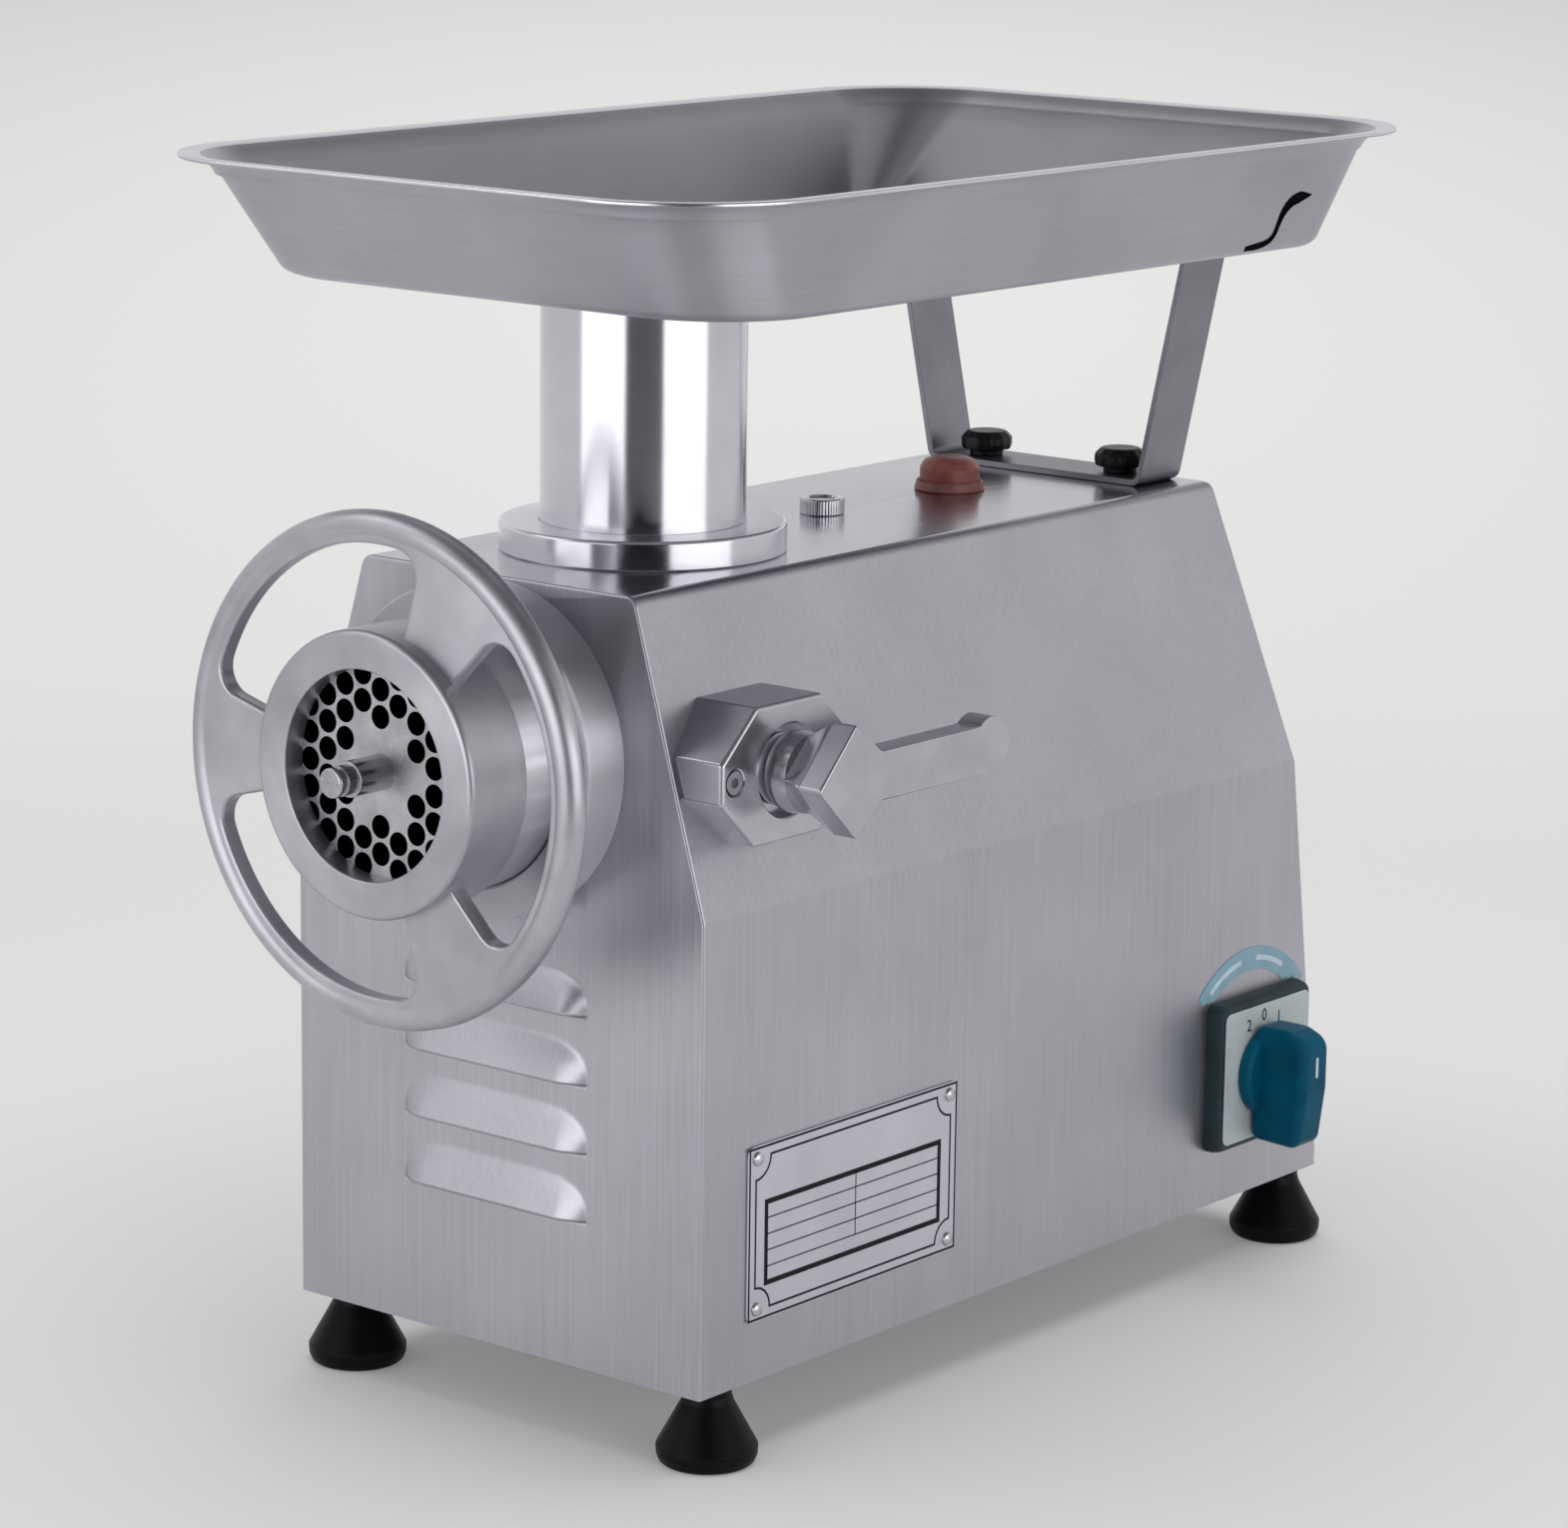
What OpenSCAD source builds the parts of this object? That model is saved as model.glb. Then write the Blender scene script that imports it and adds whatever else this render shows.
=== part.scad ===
// Bench meat grinder: folded sheet housing, geared motor, grinding head, ring nut, feed tube and tray.
// Millimetres. The outlet faces -Y, the lock lever and rotary switch are on +X, and +Z is up.
// The origin is the middle of the four feet, on the worktop.

/* [Housing] */
// Full width of the upright side panels
body_width = 188; // [160:1:220]
// Width of the flat top
top_width = 124; // [100:1:150]
// Height of the sheet's lower edge above the worktop
base_z = 28; // [20:1:40]
// Height of the fold where the side panels start to lean in
crease_z = 195; // [170:1:215]
// Height of the flat top
top_z = 302.5; // [295:0.5:310]
// Position of the upright front panel
front_y = -193; // [-200:1:-190]
// Position of the rear panel at its lower edge
rear_low_y = 186; // [182:1:196]
// Position of the rear panel at the flat top
rear_top_y = 145; // [143:1:165]
// Sheet thickness
sheet = 1.5; // [1:0.1:2]
// Outer bend radius of the sheet
bend_r = 5; // [3:0.5:8]
// Width of the lip that the rear panel is screwed to
rear_lip = 12; // [10:1:16]
// Thickness of the plate that closes the bottom
base_plate_t = 2; // [1.5:0.5:4]
// Gap between the base plate and the walls around it
base_gap = 0.3; // [0.2:0.1:1]

/* [Rear panel screws] */
// Radius of a rear panel screw
panel_screw_r = 2; // [1.5:0.5:3]
// Radius of its head
panel_screw_head_r = 3.8; // [3:0.2:5]
// Height of its head
panel_screw_head_h = 2.2; // [1.5:0.1:3]
// Length below the head
panel_screw_l = 8; // [6:1:12]
// Height of the lowest screws above the sheet's edge, and of the middle ones below the fold
panel_screw_low = 20; // [16:1:40]
// Distance of the highest screws below the flat top
panel_screw_high = 16; // [12:1:30]
// Distance of the screws from the side edges
panel_screw_inset = 7; // [6:0.5:9]
// Clearance round every plain screw
screw_gap = 0.3; // [0.2:0.1:0.5]

/* [Feet] */
// Distance of a foot's centre inside the widest part of the side panel
foot_inset = 11; // [8:1:24]
// Distance between front and rear feet
foot_pitch_y = 351; // [300:1:356]
// Radius of a foot's widest part
foot_r = 17.8; // [15:0.1:22]
// Radius of the ring it stands on
foot_rest_r = 16; // [13:0.5:20]
// Height of the widest part
foot_wide_z = 5; // [3:0.5:8]
// Radius of the neck
foot_neck_r = 8.5; // [8:0.1:11]
// Height where the cone meets the neck
foot_neck_z = 23; // [18:0.5:25]
// Radius of the socket mouth in the underside
foot_mouth_r = 7; // [6.5:0.1:9]
// Depth of that mouth
foot_mouth_h = 6; // [4:0.5:8]
// Radius of the pocket for the screw head
foot_pocket_r = 6; // [5.5:0.1:6.5]
// Top of that pocket
foot_pocket_z = 12; // [10:0.5:14]
// Radius of the foot screw's head
foot_screw_head_r = 5; // [4.5:0.1:5.5]
// Height of the foot screw's head
foot_screw_head_h = 5; // [3:0.5:6]
// Radius of the foot screw
foot_screw_r = 3; // [2.5:0.5:4]
// Top of the foot screw
foot_screw_top = 38; // [34:1:44]
// Radius of the nut welded to the base plate
weld_nut_r = 6.5; // [6:0.5:9]
// Height of that nut
weld_nut_h = 6; // [4:0.5:8]

/* [Louvres] */
// Number of pressed louvres in the front panel
louvre_count = 4; // [1:1:5]
// Height of the lowest louvre's open edge
louvre_low_z = 79.5; // [60:0.5:90]
// Vertical distance between louvres
louvre_pitch = 24.7; // [20:0.1:30]
// Full length of a louvre
louvre_length = 84; // [60:1:110]
// Radius of the pressed bulge
louvre_r = 10; // [8:0.5:12]
// How deep the bulge's centre line lies behind the panel face
louvre_sink = 3.5; // [2:0.5:5]
// Height of the bulge's centre line above the open edge
louvre_rise = 3; // [1:0.5:5]

/* [Nameplate] */
// Length of the plate
plate_length = 118; // [80:1:130]
// Height of the plate
plate_height = 63; // [40:1:80]
// Thickness of the plate
plate_t = 0.8; // [0.5:0.1:1.5]
// Position of its middle along the machine
plate_y = -110; // [-130:1:-90]
// Height of its middle
plate_z = 81; // [70:1:95]
// Radius of the notch at each corner
plate_notch_r = 5; // [3:0.5:7]
// Radius of a rivet head
rivet_r = 2.4; // [1.5:0.1:3]
// Height of a rivet head
rivet_h = 1.1; // [0.6:0.1:2]
// Distance of the rivets from the plate's edges
rivet_inset = 9; // [7:0.5:12]

/* [Head] */
// Height of the auger's axis
axis_z = 243; // [230:1:250]
// Radius of the bore the auger turns in
bore_r = 38; // [36:0.5:40]
// Outer radius of the barrel inside the housing
barrel_r = 46; // [44:0.5:48]
// Outer radius of the barrel between the collar and the ring nut
muzzle_r = 46; // [45.5:0.5:52]
// Front end of that part
muzzle_y = -231; // [-235:0.5:-225]
// Radius of the threaded spigot inside the ring nut
spigot_r = 45; // [44:0.1:46]
// Front end of the spigot
spigot_y = -247; // [-249:0.5:-240]
// Radius of the seat for the hole plate
seat_r = 41.3; // [41:0.1:42]
// Rear end of the plate's seat
seat_y = -233; // [-238:0.5:-230]
// Rear end of the barrel
barrel_rear_y = -62; // [-70:1:-56]
// Thickness of the barrel's rear wall
barrel_wall_t = 12; // [8:1:16]
// Outer radius of the neck under the feed tube
neck_r = 40; // [37:0.5:42]
// Gap between the neck and the sheet above it
neck_gap = 0.5; // [0.2:0.1:1]
// Radius of the polished collar against the front panel
collar_r = 58.5; // [55:0.5:62]
// Front face of the collar
collar_y = -211; // [-215:0.5:-205]
// Clearance of the collar round the barrel
collar_gap = 0.3; // [0.2:0.1:0.5]
// Radius of the collar's socket screw
collar_screw_r = 3; // [2:0.5:4]
// Depth of the collar's socket screw
collar_screw_l = 9; // [6:1:12]
// Distance of that screw from the axis
collar_screw_at = 52.5; // [52:0.5:55]
// Its angle below the horizontal
collar_screw_angle = 40; // [0:5:90]

/* [Head socket] */
// Clearance between the barrel and the socket that holds it
socket_gap = 0.2; // [0.1:0.05:0.4]
// Wall of the socket ring
socket_wall = 8; // [6:0.5:10]
// Rear end of the socket ring
socket_rear_y = -160; // [-165:1:-158]
// Width of the threaded lug beside the ring
lug_width = 30; // [26:1:34]
// Depth of the boss's foot inside the side panel at the lock's height
lug_sink = 5.7; // [3:0.1:9]

/* [Ring nut] */
// Front face of the ring nut
nut_front_y = -259; // [-262:0.5:-256]
// Rear end of the ring nut
nut_rear_y = -231.5; // [-236:0.5:-231]
// Outer radius of its hub
hub_r = 49.3; // [48:0.1:52]
// Radius of the hub's rounded front edge
hub_edge_r = 3; // [1:0.5:5]
// Radius of the opening that shows the hole plate
aperture_r = 36; // [32:0.5:39]
// Depth of the lip round that opening
lip_t = 8.8; // [6:0.1:12]
// Running clearance of the thread, which is drawn plain
thread_gap = 0.08; // [0.02:0.01:0.1]
// Radius from the axis to the rim's centre
rim_at_r = 83.3; // [75:0.1:95]
// Radius of the rim's round section
rim_r = 5.2; // [4:0.1:7]
// Position of the rim's centre plane
rim_y = -248.5; // [-252:0.5:-240]
// Thickness of the webs
web_t = 8; // [5:0.5:10]
// Inner radius of the openings between the webs
opening_in_r = 48; // [44:0.5:56]
// Outer radius of those openings
opening_out_r = 77.5; // [70:0.5:79]
// Half the angle of one opening
opening_half = 45; // [30:1:50]
// Corner radius of the openings
opening_corner_r = 9; // [4:0.5:12]

/* [Hole plate and knife] */
// Radius of the hole plate
disc_r = 41; // [40:0.5:41]
// Thickness of the hole plate
disc_t = 8; // [6:0.5:10]
// Radius of one mincing hole
mince_hole_r = 4; // [2:0.5:5]
// Distance between neighbouring mincing holes
mince_pitch = 9.4; // [9:0.1:12]
// Inner limit of the holes' centres
mince_in_r = 18; // [14:0.5:22]
// Outer limit of the holes' centres
mince_out_r = 37.8; // [30:0.1:38]
// Radius of the key that stops the plate turning
key_r = 2.4; // [1.5:0.1:3]
// Clearance round the key in the plate's notch
key_gap = 0.3; // [0.1:0.1:0.5]
// Gap between the rotating knife and the plate
knife_gap = 0.2; // [0.1:0.05:0.5]
// Thickness of the knife's blades
knife_t = 7; // [5:0.5:9]
// Radius the blades reach
knife_r = 36; // [30:0.5:37.5]
// Radius of the knife's hub
knife_hub_r = 13; // [11:0.5:16]
// Width of a blade
blade_w = 9; // [6:0.5:12]

/* [Auger] */
// Radius of the auger's core
core_r = 15; // [12:0.5:20]
// Clearance of the flight in the bore
flight_gap = 0.7; // [0.4:0.1:1.5]
// Thickness of the flight, as an angle of its cross-section
flight_angle = 46; // [30:2:70]
// Advance of the flight for one turn
flight_pitch = 46; // [35:1:60]
// Front end of the flight
auger_front_y = -232.5; // [-233:0.5:-225]
// Radius of the rear journal
journal_r = 17; // [15:0.5:20]
// Running clearance of a journal in its bore
running = 0.05; // [0.02:0.01:0.1]
// Radius of the stud's free front end
stud_r = 5; // [4:0.5:6]
// Front end of the stud
stud_front_y = -274.5; // [-280:0.5:-266]
// Radius of the stud where it turns in the hole plate
stud_journal_r = 6; // [5.5:0.5:8]
// Length of the journal in front of the plate
stud_proud = 1; // [0.5:0.5:3]
// Square that drives the knife
stud_square = 13; // [11:0.5:15]
// Depth of the stud's shank in the auger
stud_shank_l = 20; // [10:1:30]
// Clearance of a driving square in its hole
square_gap = 0.1; // [0.05:0.05:0.3]

/* [Feed tube] */
// Position of the tube's axis
tube_y = -116; // [-125:1:-105]
// Outer radius of the tube
tube_r = 36.4; // [34:0.1:40]
// Inner radius of the tube
throat_r = 30; // [26:0.5:32]
// Gap between the tube's upper end and the tray
tube_seat = 0.3; // [0.1:0.1:1]
// Radius of the flange that stands on the housing
flange_r = 50.8; // [45:0.1:56]
// Thickness of the flange
flange_t = 10.4; // [6:0.1:14]
// Radius of the spigot below the flange
tube_spigot_r = 34; // [32:0.5:35]
// Length of the spigot below the flange
tube_spigot_l = 15; // [10:1:18]
// Clearance of the spigot in the neck
tube_gap = 0.1; // [0.05:0.05:0.3]

/* [Tray] */
// Width over the rim
tray_width = 265; // [220:1:300]
// Front edge of the rim
tray_front_y = -242; // [-260:1:-220]
// Rear edge of the rim
tray_rear_y = 194; // [160:1:210]
// Height of the rim
tray_rim_z = 440.5; // [425:0.5:460]
// Width of the flat floor
floor_width = 219; // [180:1:240]
// Front edge of the floor
floor_front_y = -204; // [-220:1:-190]
// Rear edge of the floor
floor_rear_y = 148; // [120:1:170]
// Height of the floor's underside
floor_z = 397; // [397:1:405]
// Corner radius at the rim
rim_corner_r = 52; // [30:1:70]
// Corner radius at the floor, in front
floor_corner_r = 38; // [20:1:50]
// Corner radius at the floor, behind
floor_rear_corner_r = 14; // [8:1:50]
// Sheet thickness of the tray
tray_t = 1.5; // [1:0.1:2]
// Width of the flared lip outside the walls
lip_w = 12.5; // [3:0.5:16]
// Rise of the lip from the walls to its edge
lip_rise = 4.5; // [2:0.1:8]
// Clearance of the tray's neck in the tube
neck_fit = 0.3; // [0.2:0.1:0.5]
// Wall of the tray's neck
tray_neck_t = 1.7; // [1.5:0.1:2]
// Length of the neck below the floor
tray_neck_l = 40; // [20:1:60]
// Width of the S-shaped grooves in the outside of the side walls
slot_w = 3; // [2:0.5:4]
// Depth of those grooves
slot_deep = 1; // [0.5:0.1:1.2]
// Position of their middle
slot_y = 100; // [80:1:110]

/* [Tray bracket] */
// Width of the strip
strip_w = 26; // [20:1:32]
// Thickness of the strip
strip_t = 2.5; // [2:0.1:4]
// Position of the strip's middle
strip_y = 128; // [110:1:130]
// Half the length of the strip's base
strip_half = 55; // [45:1:60]
// Lean of the arms from upright
arm_lean = 12; // [0:1:20]
// Length of the tabs under the tray
tab_l = 18; // [12:1:24]
// Position of the thumb knobs each side of the middle
knob_x = 32; // [24:1:40]
// Radius of a thumb knob
knob_r = 10; // [8:0.5:12]
// Height of its grip
knob_h = 8; // [6:0.5:12]
// Radius of its neck
knob_neck_r = 6.5; // [5:0.5:8]
// Height of its neck
knob_neck_h = 4; // [2:0.5:6]
// Radius of its stud
knob_stud_r = 3; // [2:0.5:4]
// Length of its stud
knob_stud_l = 14; // [8:1:20]

/* [Lock lever] */
// Position of the lever's axis along the machine
lock_y = -155; // [-156:0.5:-150]
// Distance of the eight-sided boss's face outside the widest part of the side panel
boss_stand = 5; // [2:0.5:10]
// Length of the boss
boss_length = 71; // [60:1:74]
// Height of the boss
boss_height = 48; // [40:1:54]
// Upright and level shares of its corners
boss_corner_y = 18; // [10:1:24]
// Rise of its corners
boss_corner_z = 17; // [10:1:20]
// Distance of the boss screws from the axis
boss_screw_at = 28.5; // [24:0.5:30]
// Radius of a boss screw
boss_screw_r = 2.5; // [2:0.5:3]
// Radius of its head
boss_screw_head_r = 4; // [3:0.5:4.5]
// Length of a boss screw
boss_screw_l = 30; // [20:1:34]
// Radius of the lock screw
lock_r = 9; // [7:0.5:10]
// Gap between the boss and the lever
lever_gap = 1; // [0.5:0.5:3]
// Radius of the lever's round hub
lever_hub_r = 13.5; // [12:0.5:16]
// Length of the round hub
lever_hub_l = 7; // [4:0.5:12]
// Length of the part that spreads to the oblong head
lever_flare_l = 11; // [6:0.5:14]
// Thickness of the head and arm
lever_t = 10; // [7:0.5:12]
// Long side of the oblong head
head_long = 32; // [28:0.5:38]
// Short side of the head
head_wide = 20; // [16:0.5:26]
// Angle of its long side above the arm
head_angle = 60; // [30:1:90]
// Distance from the axis where the head's lower corner runs out into the arm
head_blend = 14; // [10:0.5:20]
// Length of the arm from the axis
lever_length = 85; // [60:1:110]
// Height of the arm
arm_h = 16; // [12:0.5:20]
// Radius of the rounded end
lever_end_r = 11.5; // [10:0.5:15]

/* [Rotary switch] */
// Position of the switch along the machine
switch_y = 135; // [120:1:140]
// Height of the switch
switch_z = 79; // [70:1:90]
// Size of the square bezel against the panel
bezel_size = 60; // [50:1:66]
// Size of its front face
bezel_front = 55; // [48:1:60]
// Depth of the bezel
bezel_d = 10; // [6:0.5:14]
// Size of the square face plate
face_size = 51; // [44:1:54]
// Thickness of the face plate
face_t = 1.2; // [0.8:0.1:2]
// Radius of the knob's disc
dial_r = 18; // [14:0.5:22]
// Thickness of the knob's disc
dial_t = 4.5; // [3:0.5:6]
// Gap between the knob and the face
dial_gap = 0.4; // [0.3:0.1:1]
// Thickness of the grip
grip_w = 11; // [8:0.5:14]
// Depth of the grip
grip_d = 20; // [14:0.5:26]
// Reach of the grip above the axis
grip_up = 19; // [14:1:24]
// Reach of the grip below the axis
grip_down = 26; // [20:1:30]
// Radius of the switch's spindle
spindle_r = 3; // [2:0.5:4]
// Size of the switch body behind the panel
contact_size = 44; // [36:1:50]
// Depth of the switch body
contact_d = 34; // [25:1:36]
// Radius of its mounting boss
contact_boss_r = 15; // [12:0.5:18]
// Inner radius of the arc label round the switch
label_in_r = 38; // [36:0.5:40]
// Outer radius of the arc label
label_out_r = 47; // [44:0.5:50]
// Angle where the label starts, from level at the rear
label_start_angle = 38; // [20:1:60]
// Angle where it ends
label_end_angle = 136; // [100:1:160]
// Thickness of the arc label
label_t = 0.3; // [0.2:0.1:0.5]

/* [Top of the housing] */
// Position of the reset button
reset_y = 62; // [55:1:75]
// Radius of its rubber ring
reset_ring_r = 13.5; // [12:0.5:16]
// Height of its rubber ring
reset_ring_h = 4; // [3:0.5:6]
// Radius of the red cap
reset_r = 11; // [9:0.5:12]
// Height of the cap's top above the housing
reset_top = 10; // [8:0.5:14]
// How far the cap presses in
reset_travel = 2.5; // [1.5:0.5:4]
// Radius of the cap's stem
reset_stem_r = 3.5; // [3:0.5:5]
// Length of the stem below the cap
reset_stem_l = 12; // [8:1:16]
// Radius of the overload breaker under the button
breaker_r = 12; // [10:0.5:15]
// Length of the breaker
breaker_l = 38; // [25:1:45]
// Position of the oil filler plug
plug_y = -15; // [-20:1:-12]
// Radius of the plug's head
plug_r = 8.3; // [7:0.1:10]
// Height of the plug's head
plug_h = 6; // [4:0.5:9]
// Radius of the plug's stem
plug_stem_r = 5; // [4:0.5:6]
// Radius of the filler boss on the gear case
filler_r = 9; // [8:0.5:11]

/* [Gearbox] */
// Gear module
gear_module = 2; // [1.5:0.25:2.5]
// Teeth on each pinion
pinion_teeth = 15; // [12:1:18]
// Teeth on each wheel
wheel_teeth = 45; // [36:1:48]
// Angle from the output shaft down to the countershaft
train_angle = 19.7; // [16:0.1:24]
// Gap between a gear's tip and the case
case_gap = 2; // [1:0.5:4]
// Wall of the gear case
case_wall = 5; // [4:0.5:7]
// Thickness of the cover, whose front face meets the barrel
cover_t = 12; // [10:0.5:14]
// Rear face of the gear case
case_rear_y = 0; // [-5:1:5]
// Thickness of the case's rear wall
case_back_t = 10; // [9:0.5:12]
// Face width of the slow wheel
slow_w = 16; // [12:1:18]
// Face width of the fast wheel
fast_w = 10; // [8:1:12]
// Extra width of a pinion over its wheel
pinion_extra = 2; // [1:0.5:4]
// Gap between a slow gear and the cover
side_gap = 3; // [2:0.5:5]
// Radius of the output shaft in the seal and front bearing
output_r = 12; // [10:0.5:14]
// Radius of its rear journal
output_rear_r = 8; // [7:0.5:10]
// Square tang that drives the auger
tang = 18; // [14:0.5:22]
// Length of the tang
tang_l = 24; // [16:1:30]
// Outer radius of the front bearing and seal
front_bearing_r = 20; // [18:0.5:24]
// Thickness of the shaft seal
seal_t = 5; // [4:0.5:7]
// Gap between the seal and the shoulder of the tang
seal_side_gap = 0.5; // [0.3:0.1:1]
// Outer radius of the output shaft's rear bearing
rear_bearing_r = 16; // [14:0.5:18]
// Radius of the countershaft's journals
counter_r = 6; // [5:0.5:8]
// Outer radius of its bearings
counter_bearing_r = 13; // [11:0.5:14]
// Width of every gearbox bearing
bearing_w = 7; // [5:0.5:8]
// Clearance of fixed pieces that share an axis
seat_gap = 0.02; // [0.01:0.01:0.05]
// Radius of a case screw
case_screw_r = 2.5; // [2:0.5:3]
// Length of a case screw behind the cover's front face
case_screw_l = 25; // [20:1:30]
// Radius of the lugs that take the case screws
case_lug_r = 6; // [5:0.5:8]
// Length of those lugs behind the cover
case_lug_l = 30; // [20:1:36]

/* [Motor] */
// Outer radius of the motor frame
motor_r = 64; // [55:1:66]
// Wall of the motor frame
motor_wall = 2.5; // [2:0.5:4]
// Length of the motor frame
motor_length = 114; // [90:1:120]
// Thickness of each end bell
bell_t = 8; // [7:0.5:10]
// Length of the stator core
core_length = 70; // [50:1:80]
// Radius of the bore through the stator
stator_bore_r = 36; // [30:0.5:40]
// Air gap round the rotor
air_gap = 0.5; // [0.3:0.1:1]
// Outer radius of the windings
winding_r = 57; // [50:1:60]
// Length of the windings at each end
winding_l = 14; // [8:1:18]
// Radius of the motor shaft
motor_shaft_r = 8; // [7:0.5:10]
// Outer radius of the motor bearings
motor_bearing_r = 17.5; // [15:0.5:20]
// Radius of the fan
fan_r = 54; // [45:1:58]
// Width of the fan
fan_w = 12; // [8:1:16]
// Gap between the fan and the motor's rear bell
fan_gap = 3; // [2:0.5:6]
// Thickness of the fan's disc
fan_disc_t = 2; // [1:0.5:3]
// Wall of the fan's hub
fan_hub_wall = 6; // [4:0.5:8]
// Thickness of a fan blade
fan_blade_t = 3; // [2:0.5:4]
// Number of fan blades
fan_blades = 8; // [5:1:12]
// Outer radius of the fan cowl
cowl_r = 61; // [56:1:64]
// Length of the fan cowl
cowl_l = 23; // [18:1:26]
// Sheet of the fan cowl
cowl_t = 1.2; // [0.8:0.1:2]
// Width of the two saddles under the motor
saddle_w = 90; // [60:5:110]
// Thickness of each saddle
saddle_t = 16; // [10:1:24]

/* [Electrics] */
// Radius of the capacitor
capacitor_r = 17; // [14:0.5:20]
// Length of the capacitor
capacitor_l = 80; // [60:1:100]
// Gap between the capacitor and the side panel
capacitor_gap = 9.5; // [4:0.5:14]
// Front end of the capacitor
capacitor_y = -80; // [-120:1:-60]
// Size of the terminal block along X, Y and Z
terminal_size = [46, 22, 16];
// Position of the terminal block's corner
terminal_at = [-62, 128];
// Height of the cable gland
gland_z = 56; // [45:1:80]
// Position of the gland beside the middle
gland_x = -45; // [-60:1:60]
// Radius of the cable passage
gland_bore_r = 4.1; // [3:0.1:6]
// Outer radius of the gland's thread
gland_r = 8; // [6:0.5:10]
// Radius of the gland's six-sided flange
gland_hex_r = 12; // [10:0.5:14]
// Length of the gland outside the panel
gland_out = 16; // [10:1:22]
// Length of the gland inside the panel
gland_in = 9; // [6:1:12]

/* [Hidden] */
// Height of the upper edge of the tray's walls
tray_wall_z = tray_rim_z - lip_rise;
steel = [0.72, 0.73, 0.75];
cast = [0.80, 0.81, 0.82];
dark = [0.10, 0.10, 0.11];
copper = [0.72, 0.40, 0.22];
iron = [0.35, 0.36, 0.38];
teal = [0.02, 0.36, 0.42];
red = [0.75, 0.10, 0.08];
far = 600;
rear_slope = (rear_low_y - rear_top_y) / (top_z - base_z);
rear_angle = atan(rear_slope);
side_slope = (body_width - top_width) / 2 / (top_z - crease_z);
crease_half = body_width / 2;
foot_pitch_x = body_width - 2 * foot_inset;
boss_x = crease_half + boss_stand;
lug_x = side_x(axis_z) - lug_sink;
capacitor_x = capacitor_gap + capacitor_r + sheet - crease_half;
base_rear_y = rear_low_y - 2 * sheet;
disc_front_y = nut_front_y + lip_t;
disc_rear_y = disc_front_y + disc_t;
knife_front_y = disc_rear_y + knife_gap;
knife_rear_y = knife_front_y + knife_t;
wall_front_y = barrel_rear_y - barrel_wall_t;
pinion_r = gear_module * pinion_teeth / 2;
wheel_r = gear_module * wheel_teeth / 2;
centre_distance = pinion_r + wheel_r;
counter_x = -centre_distance * sin(train_angle);
counter_z = axis_z - centre_distance * cos(train_angle);
motor_z = axis_z - 2 * centre_distance * cos(train_angle);
cover_rear_y = barrel_rear_y + cover_t;
case_back_y = case_rear_y - case_back_t;
slow_y = cover_rear_y + side_gap;
fast_y = case_back_y - side_gap - fast_w;
case_r = wheel_r + gear_module + case_gap;
case_small_r = pinion_r + gear_module + case_gap;
motor_end_y = case_rear_y + motor_length + 2 * bell_t;
core_y = case_rear_y + bell_t + (motor_length - core_length) / 2;
lever_x = boss_x + lever_gap;
bezel_x = crease_half + bezel_d;
dial_x = bezel_x + face_t + dial_gap;
tooth_step = 360 / pinion_teeth;
flight_slices = 90;
arc_steps = 24;
tube_top_z = floor_z - tube_seat;
tray_neck_r = throat_r - neck_fit;
wheel_step = 360 / wheel_teeth;

function arc_points(r, a0, a1) =
    [for (i = [0 : arc_steps]) let (a = a0 + (a1 - a0) * i / arc_steps) [r * cos(a), r * sin(a)]];
function rear_y(z) = rear_low_y - (z - base_z) * rear_slope;
function side_x(z) = crease_half - max(0, z - crease_z) * side_slope;

// Outline of the housing seen from the front, moved inwards by a distance
module profile(inwards) {
    offset(delta = -inwards)
        offset(r = bend_r)
            offset(delta = -bend_r)
                polygon([[-crease_half, base_z], [crease_half, base_z], [crease_half, crease_z],
                    [top_width / 2, top_z], [-top_width / 2, top_z], [-crease_half, crease_z]]);
}

// Solid of that outline between two positions
module run(inwards, y0, y1) {
    translate([0, y1, 0])
        rotate([90, 0, 0])
            linear_extrude(y1 - y0)
                profile(inwards);
}

// Everything behind the leaning rear plane, moved outwards by a distance
module behind(outwards) {
    translate([-far / 2, rear_low_y, base_z])
        rotate([rear_angle, 0, 0])
            translate([0, outwards, -far / 2])
                cube([far, far, far]);
}

// Cylinder along Y from one position to another, at a height
module bar(r, y0, y1, z = axis_z, x = 0) {
    translate([x, y1, z])
        rotate([90, 0, 0])
            cylinder(r = r, h = y1 - y0);
}

// Cylinder along X
module rod(r, x0, x1, y, z) {
    translate([x0, y, z])
        rotate([0, 90, 0])
            cylinder(r = r, h = x1 - x0);
}

// Cylinder along Z
module post(r, z0, z1, y, x = 0) {
    translate([x, y, z0])
        cylinder(r = r, h = z1 - z0);
}

// Four places of the feet
module at_feet() {
    for (x = [-1, 1], y = [-1, 1])
        translate([x * foot_pitch_x / 2, y * foot_pitch_y / 2, 0])
            children();
}

// Places of the rear panel screws, in the plane of the rear panel
module at_panel_screws() {
    for (z = [base_z + panel_screw_low, crease_z - panel_screw_low, top_z - panel_screw_high], x = [-1, 1])
        translate([x * (side_x(z) - panel_screw_inset), rear_y(z), z])
            rotate([rear_angle - 90, 0, 0])
                children();
}

// Bulge of one louvre
module louvre_bulge(r, half) {
    rod(r, -half, half, front_y + louvre_sink, louvre_rise);
    for (x = [-half, half])
        translate([x, front_y + louvre_sink, louvre_rise])
            sphere(r = r, $fn = 48);
}

// Space in front of the panel and above one louvre's open edge
module louvre_window(depth) {
    translate([-louvre_length / 2 - 5, front_y - 20, 0])
        cube([louvre_length + 10, 20 + depth, 2 * louvre_r]);
}

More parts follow.
